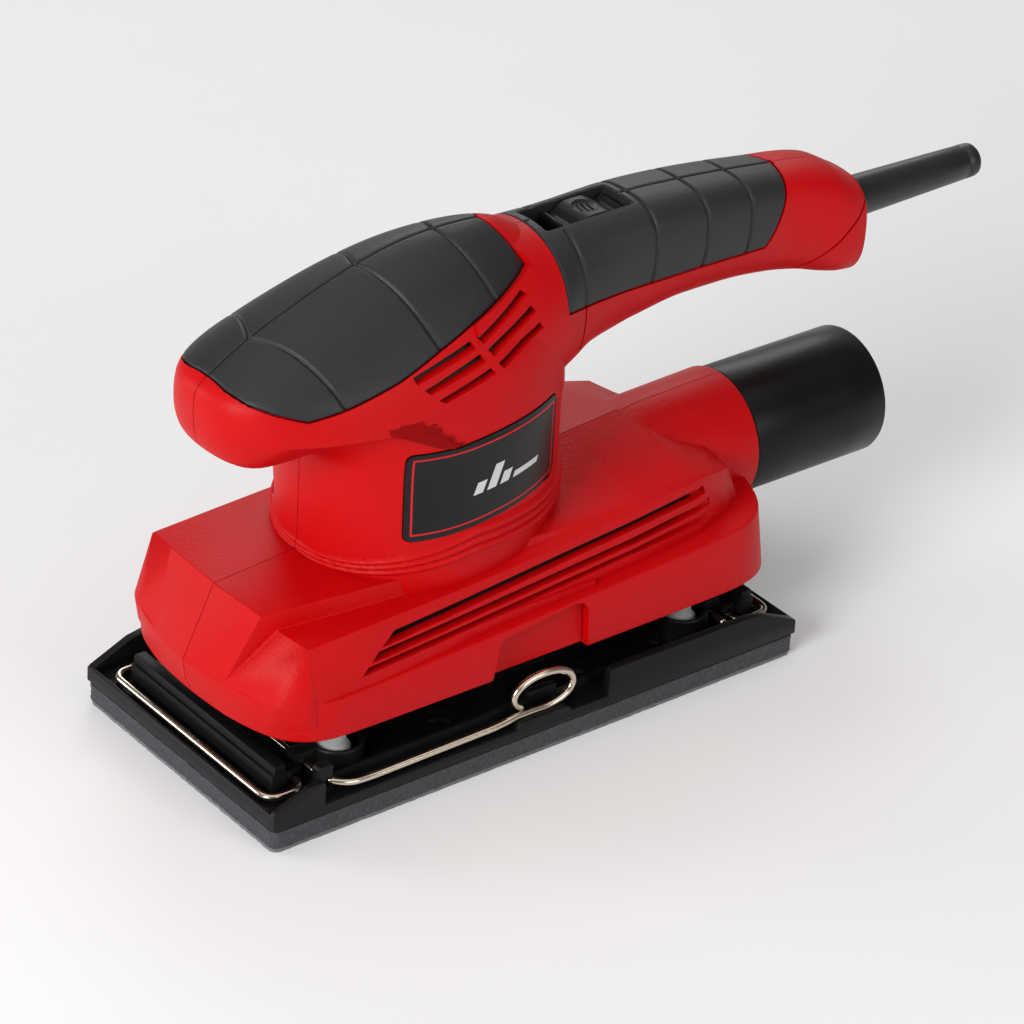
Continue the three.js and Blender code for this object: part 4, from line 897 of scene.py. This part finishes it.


# dark liners that close both sides' louvres and vents from behind: painted shade
painted_shade_liner("air_guide_left", -1)
painted_shade_liner("air_guide_right", 1)
finish_piece(left_half, red_abs, "housing", "red_plastic", "housing_left")
finish_piece(right_half, red_abs, "housing", "red_plastic", "housing_right")
for panel, word in ((head_panel, "head"), (handle_panel, "handle")):
    other = mirrored(panel, word + "_panel_right")
    finish_piece(panel, soft_grip, "housing", "soft_grip", word + "_grip_left")
    finish_piece(other, soft_grip, "housing", "soft_grip", word + "_grip_right")


# ---------------------------------------------------------------- name plates
def band_of(tree, value, low, high):
    """1 where a value lies between two limits, else 0."""
    above = add(tree, "ShaderNodeMath", {0: value, 1: low}, operation="GREATER_THAN").outputs[0]
    below = add(tree, "ShaderNodeMath", {0: value, 1: high}, operation="LESS_THAN").outputs[0]
    return add(tree, "ShaderNodeMath", {0: above, 1: below}, operation="MULTIPLY").outputs[0]


def plate_film():
    """Black printed film: a red line inside its edge and three plain slanted bars."""
    mat = surface(
        "printed_film", "#060607", "#0A0A0B", 0.34, spot=8, grain=0.6, bump=0.006, Specular_IOR_Level=0.3
    )
    tree = mat.node_tree
    shader = tree.nodes["Principled BSDF"]
    base = shader.inputs["Base Color"].links[0].from_socket
    uv = add(tree, "ShaderNodeUVMap", uv_map="plate").outputs["UV"]
    parts = add(tree, "ShaderNodeSeparateXYZ", {"Vector": uv})
    u, v = parts.outputs["X"], parts.outputs["Y"]

    def math_node(kind, a, b):
        return add(tree, "ShaderNodeMath", {0: a, 1: b}, operation=kind).outputs[0]

    side = math_node("MINIMUM", u, math_node("SUBTRACT", LABEL_WIDTH, u))
    ends = math_node("MINIMUM", v, math_node("SUBTRACT", LABEL_HEIGHT, v))
    line = band_of(tree, math_node("MINIMUM", side, ends), 1.5, 2.0)
    lean = math_node("SUBTRACT", u, math_node("MULTIPLY", v, 0.42))
    bars = None
    for start, low, high in ((15.0, 9.5, 13.0), (19.6, 9.5, 16.5), (24.2, 9.5, 13.0)):
        bar = math_node("MULTIPLY", band_of(tree, lean, start, start + 3.2), band_of(tree, v, low, high))
        bars = bar if bars is None else math_node("MAXIMUM", bars, bar)
    stripe = math_node("MULTIPLY", band_of(tree, lean, 29.0, 39.0), band_of(tree, v, 9.5, 11.3))
    bars = math_node("MAXIMUM", bars, stripe)
    for mask, code in ((line, "#C4060F"), (bars, "#C9CACC")):
        mix = add(tree, "ShaderNodeMix", {"Factor": mask}, data_type="RGBA")
        ends_ = [s for s in mix.inputs if s.type == "RGBA"]
        tree.links.new(base, ends_[0])
        ends_[1].default_value = linear(code)
        base = [s for s in mix.outputs if s.type == "RGBA"][0]
    tree.links.new(base, shader.inputs["Base Color"])
    return mat


printed_film = plate_film()
other_plate = mirrored(name_plate, "name_plate_skin_right")
finish_piece(name_plate, printed_film, "housing", "plate_film", "name_plate_left")
finish_piece(other_plate, printed_film, "housing", "plate_film", "name_plate_right")


# ---------------------------------------------------------------- switch, sleeve and dust tube
def slider_piece():
    """The switch slider: z = top - wave(x) - dimple(r) + ribs, a closed block under a wavy top."""
    x0, length, half = 29.1, 22.9, 6.4
    u, v = np.linspace(0, length, 140), np.linspace(-half, half, 80)
    wave = smooth(
        [
            (0, 4.6), (0.9, 1.5), (3.4, 2.5), (6.2, 0.9), (9.0, 0.1), (11.5, 0.0), (14.2, 0.1),
            (17.0, 1.1), (19.6, 2.5), (22.0, 1.5), (22.9, 4.6)
        ],
        u
    )[:, 0]
    r = np.hypot(u[:, None] - 11.5, v[None])
    dimple = 0.8 * np.clip(1 - (r / 3.9) ** 2, 0, 1) ** 0.7
    ribs = 0.45 * sum(np.exp(-((((u[:, None] - 11.5 - d) - 0.25 * v[None]) / 0.32) ** 4)) for d in (
        -1.7, 0.0, 1.7
    )) * (r < 2.6)
    edge = 0.7 * np.clip((np.abs(v) - half + 0.9) / 0.9, 0, 1)[None] ** 2
    z = 142.0 - wave[:, None] - dimple + ribs - edge
    rings = []
    for i, x in enumerate(u):
        top = np.column_stack([np.full(len(v), x0 + x), v, z[i]])
        low = np.array([[x0 + x, half, 136.4], [x0 + x, -half, 136.4]])
        rings.append(np.vstack([top, low]))
    return skin("switch_cap", rings, angle=35)


cap = slider_piece()
stem = block("stem", 37.5, 44.0, -3.0, 3.0, 130.2, 137.0, 0.3)
combine(cap, [stem], "UNION")
shade(cap, 35)
finish_piece(cap, black_nylon, "switch", "black_plastic", "switch_slider")

SLEEVE = [(0, 6.9), (3, 6.9), (3, 9.4), (6, 9.4), (6, 6.9), (15.6, 6.9), (16.4, 6.75), (17.0, 6.35),
          (19.0, 6.25), (35, 5.85), (50, 5.5), (60.5, 5.25), (61.0, 5.0), (61.6, 5.0), (62.0, 5.25),
          (64.6, 5.15), (65.4, 4.95), (66.0, 4.4), (66.0, 3.6), (0, 3.6), (0, 6.9)]
sleeve = turned("cord_sleeve_rubber", SLEEVE, (125.0, 0, SLEEVE_Z), angle=35)
finish_piece(sleeve, sleeve_pvc, "housing", "black_rubber", "cord_sleeve")

TUBE = [(0, 17.3), (23.9, 17.3), (23.9, 19.0), (24.3, 19.45), (24.9, 19.6), (40, 19.62),
        (60, 19.6), (73.4, 19.6), (74.0, 19.3), (74.2, 18.8),
        (74.2, 17.9), (73.6, 17.4), (30.5, 17.4), (29.5, 15.6), (0, 15.6), (0, 17.3)]
tube = turned("dust_tube", TUBE, (73.3, 0, PORT_Z), sides=160, angle=35)
finish_piece(tube, tube_abs, "outlet", "black_plastic", "dust_adapter")


# ---------------------------------------------------------------- pad
def slab_outline(half_x, half_y, corner, count=8):
    points = []
    for cx, cy, start in ((1, 1, 0), (-1, 1, 90), (-1, -1, 180), (1, -1, 270)):
        for k in range(count + 1):
            a = math.radians(start + 90 * k / count)
            points.append((
                cx * (half_x - corner) + corner * math.cos(a),
                cy * (half_y - corner) + corner * math.sin(a)
            ))
    return points


def dust_holes(z0, z1, radius):
    return [turned(
        "hole", [(0, radius), (z1 - z0, radius)], (x, y, z0), (0, 0, 1), 40
    ) for x in (-52, -24, 24, 52) for y in (-28, 28)]


def rough_slab(name, z0, z1, half_x, half_y, layers, amount, seed):
    """A slab whose cut sides are ragged: each side point moves along its normal by smoothed noise."""
    rng = np.random.default_rng(seed)
    base = np.array(slab_outline(half_x, half_y, 2.5, 6))
    full = np.vstack([base, base[:1]])
    s = np.concatenate([[0], np.cumsum(np.linalg.norm(np.diff(full, axis=0), axis=1))])
    at = np.linspace(0, s[-1], 1100, endpoint=False)
    line = np.column_stack([np.interp(at, s, full[:, 0]), np.interp(at, s, full[:, 1])])
    tangent = np.roll(line, -1, axis=0) - np.roll(line, 1, axis=0)
    normal = np.column_stack([tangent[:, 1], -tangent[:, 0]])
    normal /= np.linalg.norm(normal, axis=1, keepdims=True)
    rings = []
    for k, z in enumerate(np.linspace(z0, z1, layers)):
        noise = rng.normal(size=len(at))
        noise = (noise + np.roll(noise, 1) + np.roll(noise, 2)) / 3
        inward = amount * (0.8 + 0.6 * noise)
        inward = np.clip(inward, 0.02, 3 * amount)
        lift = np.zeros(len(at)) if k in (0, layers - 1) else rng.normal(size=len(at)) * 0.05
        rings.append(np.column_stack([line - normal * inward[:, None], z + lift]))
    return skin(name, rings, angle=60)


foam = rough_slab("foam_sole", 1.5, 6.8, HALF_LENGTH, HALF_WIDTH, 9, 0.22, 3)
combine(foam, dust_holes(0.5, 8, 4.2))
shade(foam, 60)
finish_piece(foam, eva_foam, "pad", "foam", "foam_pad")
pile = rough_slab("hook_sheet", 0.0, 1.2, 93.1, 45.6, 4, 0.2, 9)
combine(pile, dust_holes(-1, 3, 4.2))
shade(pile, 60)
finish_piece(pile, hook_pile, "pad", "hook_cloth", "hook_layer")


def plate_end():
    """One end of the base plate: its lip, ridge, walls, brackets and catch."""
    return [
        prism(
            "lip",
            [(-93.5, 7.4), (-93.5, 11.6), (-93.1, 12.1), (-92.5, 12.1), (-91.3, 10.6), (-91.0, 7.4)],
            -45.9, 45.9, "y", 0.25
        ),
        block("ridge", -86.2, -81.4, -34.6, 34.6, 9.5, 16.4, 0.4),
        block("ridge_top", -85.4, -81.6, -34.4, 34.4, 15.8, 19.2, 0.4),
        prism(
            "wall",
            [
                (-93.5, 7.4), (-93.5, 11.6), (-92.6, 12.4), (-80.4, 17.8), (-75.5, 18.7), (-24.0, 19.0),
                (-23.0, 18.2), (-22.6, 7.4)
            ],
            43.3, 46.0, "y", 0.35
        ),
        prism(
            "post",
            [
                (-93.5, 7.4), (-93.5, 12.2), (-92.6, 13.2), (-82.0, 17.7), (-76.9, 17.9), (-76.4, 17.4),
                (-76.2, 7.4)
            ],
            -46.0, -43.7, "y", 0.3
        ),
        prism(
            "bracket",
            [(-76.2, 9.0), (-75.8, 18.4), (-74.9, 19.3), (-71.4, 19.3), (-70.8, 18.6), (-70.6, 9.0)],
            -41.6, -38.4, "y", 0.3
        ),
        prism("rim", [(-76.6, 7.4), (-76.6, 10.4), (-9.0, 10.4), (-9.0, 7.4)], -46.0, -43.9, "y", 0.25),
        prism(
            "catch", [(-10.4, 7.4), (-10.0, 10.6), (-8.8, 12.4), (7.6, 12.4), (9.2, 11.6), (9.6, 7.4)],
            -46.0, -43.2, "y", 0.3
        ),
        prism("catch_back", [(-1.0, 7.4), (-1.0, 15.8), (9.6, 15.8), (9.6, 7.4)], -38.6, -36.4, "y", 0.3),
        prism(
            "inner_wall", [(-74.0, 9.0), (-74.0, 13.6), (62.0, 13.6), (62.0, 9.0)], -38.4, -37.0, "y",
            0.25
        ),
        block("jaw_lug", -80.6, -75.6, -33.0, -29.0, 9.5, 15.4, 0.3),
        block("jaw_lug", -80.6, -75.6, 29.0, 33.0, 9.5, 15.4, 0.3),
        block("axle_lug", -76.4, -68.4, -31.0, -26.0, 9.5, 17.8, 0.4),
        block("axle_lug", -76.4, -68.4, 26.0, 31.0, 9.5, 17.8, 0.4),
    ]


def base_plate():
    plate_ = prism(
        "plate_moulding", slab_outline(HALF_LENGTH, HALF_WIDTH, 2.4), PLATE_BOTTOM, 10.4, "z", 0.25
    )
    parts = []
    for piece in plate_end():
        parts += [piece, half_turned(piece, piece.name + "_turned")]
    parts.append(turned("hub", [(0, 17.4), (11.4, 17.4), (11.8, 17.0)], (-10, 0, 10.0), (0, 0, 1), 80))
    for sx in (-1, 1):
        for sy in (-1, 1):
            parts.append(turned(
                "cup", [(0, 8.1), (7.4, 8.1), (7.8, 7.8)], (sx * LEG_X + 1, sy * LEG_Y, 9.8), (0, 0, 1),
                56
            ))
    for y in (-20, 20):
        parts.append(block("rib", -60, -26.5, y - 1, y + 1, 9.5, 15.0, 0.2))
        parts.append(block("rib", 6.5, 60, y - 1, y + 1, 9.5, 15.0, 0.2))
    combine(plate_, parts, "UNION")
    cuts = dust_holes(5, 12, 4.2)
    cuts.append(turned("hub_bore", [(0, 14.35), (14, 14.35)], (-10, 0, 12.2), (0, 0, 1), 80))
    for sx in (-1, 1):
        cuts.append(turned(
            "axle", [(0, 1.45), (102, 1.45)], (sx * AXLE_X, -42 if sx > 0 else -60, AXLE_Z), (0, 1, 0), 32
        ))
        cuts.append(turned("pins", [(0, 1.45), (80, 1.45)], (sx * JAW_PIN_X, -40, JAW_Z), (0, 1, 0), 32))
        for sy in (-1, 1):
            cuts.append(turned(
                "cup_room", [(0, 6.9), (12, 6.9)], (sx * 62 + 1, sy * 29, 10.4), (0, 0, 1), 56
            ))
    combine(plate_, cuts)
    shade(plate_, 28)
    return plate_


finish_piece(base_plate(), black_nylon, "pad", "black_plastic", "base_plate")


# ---------------------------------------------------------------- sheet clamps
def bent(points, bend, step=0.6):
    """A centreline along straight stretches joined by curves: B(s) = (1-s)^2 a + 2s(1-s) p + s^2 b."""
    p = np.asarray(points, float)
    line = [p[0]]
    for i in range(1, len(p) - 1):
        into, out = p[i - 1] - p[i], p[i + 1] - p[i]
        cut = min(bend, np.linalg.norm(into) * 0.48, np.linalg.norm(out) * 0.48)
        a, b = p[i] + into / np.linalg.norm(into) * cut, p[i] + out / np.linalg.norm(out) * cut
        for s in np.linspace(0, 1, max(4, int(2 * cut / step))):
            line.append((1 - s) ** 2 * a + 2 * s * (1 - s) * p[i] + s * s * b)
    line.append(p[-1])
    return np.array(line)


def rod(name, line, radius, sides=20, closed=False):
    """A round wire swept along a centreline, its section carried without twisting, its ends rounded."""
    line = np.asarray(line, float)
    tangent = np.roll(line, -1, axis=0) - np.roll(line, 1, axis=0) if closed else np.gradient(line, axis=0)
    tangent /= np.linalg.norm(tangent, axis=1, keepdims=True)
    side = np.cross(tangent[0], [0.3, 0.2, 1.0])
    side /= np.linalg.norm(side)
    t = np.linspace(0, 2 * math.pi, sides, endpoint=False)
    rings = []
    for k, point in enumerate(line):
        side = side - tangent[k] * (side @ tangent[k])
        side /= np.linalg.norm(side)
        up = np.cross(tangent[k], side)
        rings.append(point + radius * (np.outer(np.cos(t), side) + np.outer(np.sin(t), up)))
    if not closed:
        caps = []
        for end, way in ((0, -1), (-1, 1)):
            first, centre = rings[end], line[end]
            caps.append([centre + (first - centre) * math.cos(a) + way * tangent[end] * radius * 0.7 * math.sin(a) for a in (
                0.5, 0.95, 1.3
            )])
        rings = caps[0][::-1] + rings + caps[1]
    return skin(name, rings, closed, 50)


def lever_piece(name):
    """Axle, arm along the side and finger loop of a sheet clamp, bent from one wire."""
    y, z = -43.9, 12.6
    centre, rx, rz = np.array([1.6, y + 2.4, z + 5.6]), 10.4, 5.5
    stem = bent(
        [
            (-AXLE_X, 37.4, AXLE_Z), (-AXLE_X, -40.4, AXLE_Z), (-67.0, y, 12.8), (-60.0, y, z - 0.3),
            (-16.0, y, z + 0.2), (-8.6, y + 0.6, z + 0.6)
        ],
        5.0
    )
    turns = []
    first, last = -math.pi / 2 - 0.3, 1.5 * math.pi - 0.8
    for a in np.linspace(first, last, 90):
        share = (a - first) / (last - first)
        turns.append(centre + [rx * math.cos(a), 1.4 * share - 1.6, rz * math.sin(a)])
    line = np.vstack([stem, turns])
    return rod(name, resample(line, 0.55), WIRE_RADIUS)


def resample(line, step):
    """A line smoothed a little and read at even steps along it."""
    s = np.concatenate([[0], np.cumsum(np.linalg.norm(np.diff(line, axis=0), axis=1))])
    keep = np.concatenate([[True], np.diff(s) > 1e-6])
    s, line = s[keep], line[keep]
    at = np.linspace(0, s[-1], int(s[-1] / step))
    even = np.column_stack([np.interp(at, s, line[:, k]) for k in range(3)])
    for _ in range(6):
        even[1:-1] = (even[:-2] + 2 * even[1:-1] + even[2:]) / 4
    return even


def jaw_piece(name):
    """The clamp's jaw: a straight bar behind the lip, whose ends turn back and in to two pins."""
    half = [(-JAW_PIN_X, 29.8, JAW_Z), (-JAW_PIN_X, 37.9, JAW_Z), (-89.9, 37.9, JAW_Z)]
    points = half + [(x, -y, z) for x, y, z in half[::-1]]
    return rod(name, resample(bent(points, 4.2), 0.55), WIRE_RADIUS)


lever, jaw = lever_piece("front_lever_wire"), jaw_piece("front_jaw_wire")
rear_lever, rear_jaw = half_turned(lever, "rear_lever_wire"), half_turned(jaw, "rear_jaw_wire")
for piece, body, node in ((lever, "front_lever", "front_clamp_lever"), (jaw, "front_jaw", "front_clamp_jaw"),
                          (rear_lever, "rear_lever", "rear_clamp_lever"),
                          (rear_jaw, "rear_jaw", "rear_clamp_jaw")):
    finish_piece(piece, nickel_wire, body, "nickel_wire", node)


# ---------------------------------------------------------------- legs and screws
LEG = [
    (0, 4.6), (0.5, 5.2), (3.0, 5.2), (4.4, 3.9), (6.5, 3.6), (10.0, 3.6), (12.4, 3.9), (13.8, 5.2),
    (19.9, 5.2), (20.4, 4.8)
]
for word, sx, sy in (
    ("front_left", -1, -1), ("front_right", -1, 1), ("rear_left", 1, -1), ("rear_right", 1, 1)
):
    leg = turned("silicone_leg_" + word, LEG, (sx * LEG_X, sy * LEG_Y, 12.6), (0, 0, 1), 56)
    finish_piece(leg, clear_silicone, "housing", "pale_rubber", "rubber_leg_" + word)


def screw_piece(name, x, y0, y1, z):
    """A screw along y: thread core, washer head with a rounded rim, and a cross recess."""
    profile = [
        (0, 1.0), (1.4, 1.85), (y1 - y0 - 2.4, 1.85), (y1 - y0 - 2.4, 3.4), (y1 - y0 - 2.2, 3.75),
        (y1 - y0 - 1.0, 3.75), (y1 - y0 - 0.3, 3.0), (y1 - y0, 1.6)
    ]
    obj = turned(name, profile, (x, y0, z), (0, 1, 0), 48)
    combine(
        obj,
        [
            block("slot", x - 2.0, x + 2.0, y1 - 1.5, y1 + 1, z - 0.4, z + 0.4),
            block("slot", x - 0.4, x + 0.4, y1 - 1.5, y1 + 1, z - 2.0, z + 2.0)
        ]
    )
    shade(obj, 30)
    return obj


for node, (x, z, y0, y1) in screw_places().items():
    finish_piece(
        screw_piece(node.replace("screw_", "case_screw_"), x, y0, y1, z), screw_steel, "housing",
        "screw_steel", node
    )

# the pieces inside keep their CAD shapes
INSIDE = {
    "switch_module": black_nylon, "cord_clamp": black_nylon, "cooling_fan": black_nylon,
    "cord_clamp_screw_left": screw_steel, "cord_clamp_screw_right": screw_steel,
    "suppressor_capacitor": blue_film, "lead_live": sleeve_pvc, "lead_neutral": blue_film,
    "stator_core": lamination, "rotor_core": lamination,
    "field_coil_left": copper_wire, "field_coil_right": copper_wire,
    "commutator": copper_wire, "motor_shaft": ground_steel,
    "upper_bearing": ground_steel, "lower_bearing": ground_steel,
    "pad_bearing": ground_steel, "counterweight": cast_zinc,
    "brush_holder_left": brass_sheet, "brush_holder_right": brass_sheet,
    "carbon_brush_left": graphite, "carbon_brush_right": graphite,
}
for node, material in INSIDE.items():
    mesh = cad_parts[node].data
    mesh.materials.clear()
    mesh.materials.append(material)
    shade(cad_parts[node], 32)


# ---------------------------------------------------------------- stage, light and camera
def stage_piece():
    """A floor that curves up into a wall behind the object, as one swept surface."""
    profile = [(-2600.0, 0.0), (2200.0, 0.0)]
    for a in np.linspace(0, math.pi / 2, 24)[1:]:
        profile.append((2200.0 + 900.0 * math.sin(a), 900.0 * (1 - math.cos(a))))
    profile.append((3100.0, 3600.0))
    rows = []
    for across in np.linspace(-4000, 4000, 5):
        rows.append([(across, along, up) for along, up in profile])
    grid = np.array(rows, float)
    turn = math.radians(AZIMUTH)
    x = grid[..., 0] * math.cos(turn) - grid[..., 1] * math.sin(turn)
    y = grid[..., 0] * math.sin(turn) + grid[..., 1] * math.cos(turn)
    grid[..., 0], grid[..., 1] = x, y
    n, m = grid.shape[:2]
    index = np.arange(n * m).reshape(n, m)
    quads = np.stack([index[:-1, :-1], index[1:, :-1], index[1:, 1:], index[:-1, 1:]], -1).reshape(-1, 4)
    mesh = bpy.data.meshes.new("floor")
    mesh.from_pydata((grid.reshape(-1, 3) * MM).tolist(), [], quads.tolist())
    obj = bpy.data.objects.new("floor", mesh)
    bpy.context.scene.collection.objects.link(obj)
    shade(obj, 60)
    mesh.materials.append(surface("paper_backdrop", "#E9E9E9", "#EBEBEB", 0.9, spot=60, grain=2, bump=0.0))


stage_piece()


def lamp(name, place, target, size, power_, colour=(1, 1, 1)):
    data = bpy.data.lights.new(name, "AREA")
    data.shape = "RECTANGLE"
    data.size, data.size_y = size
    data.energy = power_
    data.color = colour
    obj = bpy.data.objects.new(name, data)
    obj.location = Vector(place)
    obj.rotation_mode = "QUATERNION"
    obj.rotation_quaternion = (Vector(target) - Vector(place)).to_track_quat("-Z", "Y")
    bpy.context.scene.collection.objects.link(obj)


lamp("sky", (0, 0, 2.3), (0, 0, 0), (3.2, 3.2), 28)
lamp("key", (-1.5, -0.5, 0.75), (0, 0, 0.07), (0.7, 0.7), 24)
lamp("fill", (0.4, -1.7, 0.75), (0, 0, 0.07), (1.0, 0.8), 9)
lamp("low", (-1.15, 1.1, 0.45), (0, 0, 0.07), (0.6, 0.4), 7)
lamp("rim", (0.9, 1.2, 0.9), (0, 0, 0.1), (0.8, 0.5), 5)
world = bpy.data.worlds.new("studio")
bpy.context.scene.world = world
world.use_nodes = True
world.node_tree.nodes["Background"].inputs["Color"].default_value = (1, 1, 1, 1)
world.node_tree.nodes["Background"].inputs["Strength"].default_value = 0.17

# the camera's place from its azimuth, elevation, roll and distance about a point above the pad
azimuth, elevation, roll = math.radians(AZIMUTH), math.radians(30.51), math.radians(3.55)
back = Vector((
    math.sin(azimuth) * math.cos(elevation), -math.cos(azimuth) * math.cos(elevation), math.sin(elevation)
))
across = Vector((math.cos(azimuth), math.sin(azimuth), 0))
up = back.cross(across)
right = math.cos(roll) * across + math.sin(roll) * up
above = -math.sin(roll) * across + math.cos(roll) * up
eye = Vector((0, 0, 70)) + back * 1267.4 + right * 15.54 + above * -12.34
camera = bpy.data.objects.new("camera", bpy.data.cameras.new("camera"))
camera.data.lens = 36 * 4500 / 1024
camera.data.sensor_width = 36
camera.data.clip_start, camera.data.clip_end = 0.05, 20
camera.matrix_world = Matrix.Translation(eye * MM) @ Matrix((right, above, back)).transposed().to_4x4()
bpy.context.scene.collection.objects.link(camera)
bpy.context.scene.camera = camera
bpy.context.scene.view_settings.view_transform = "Standard"
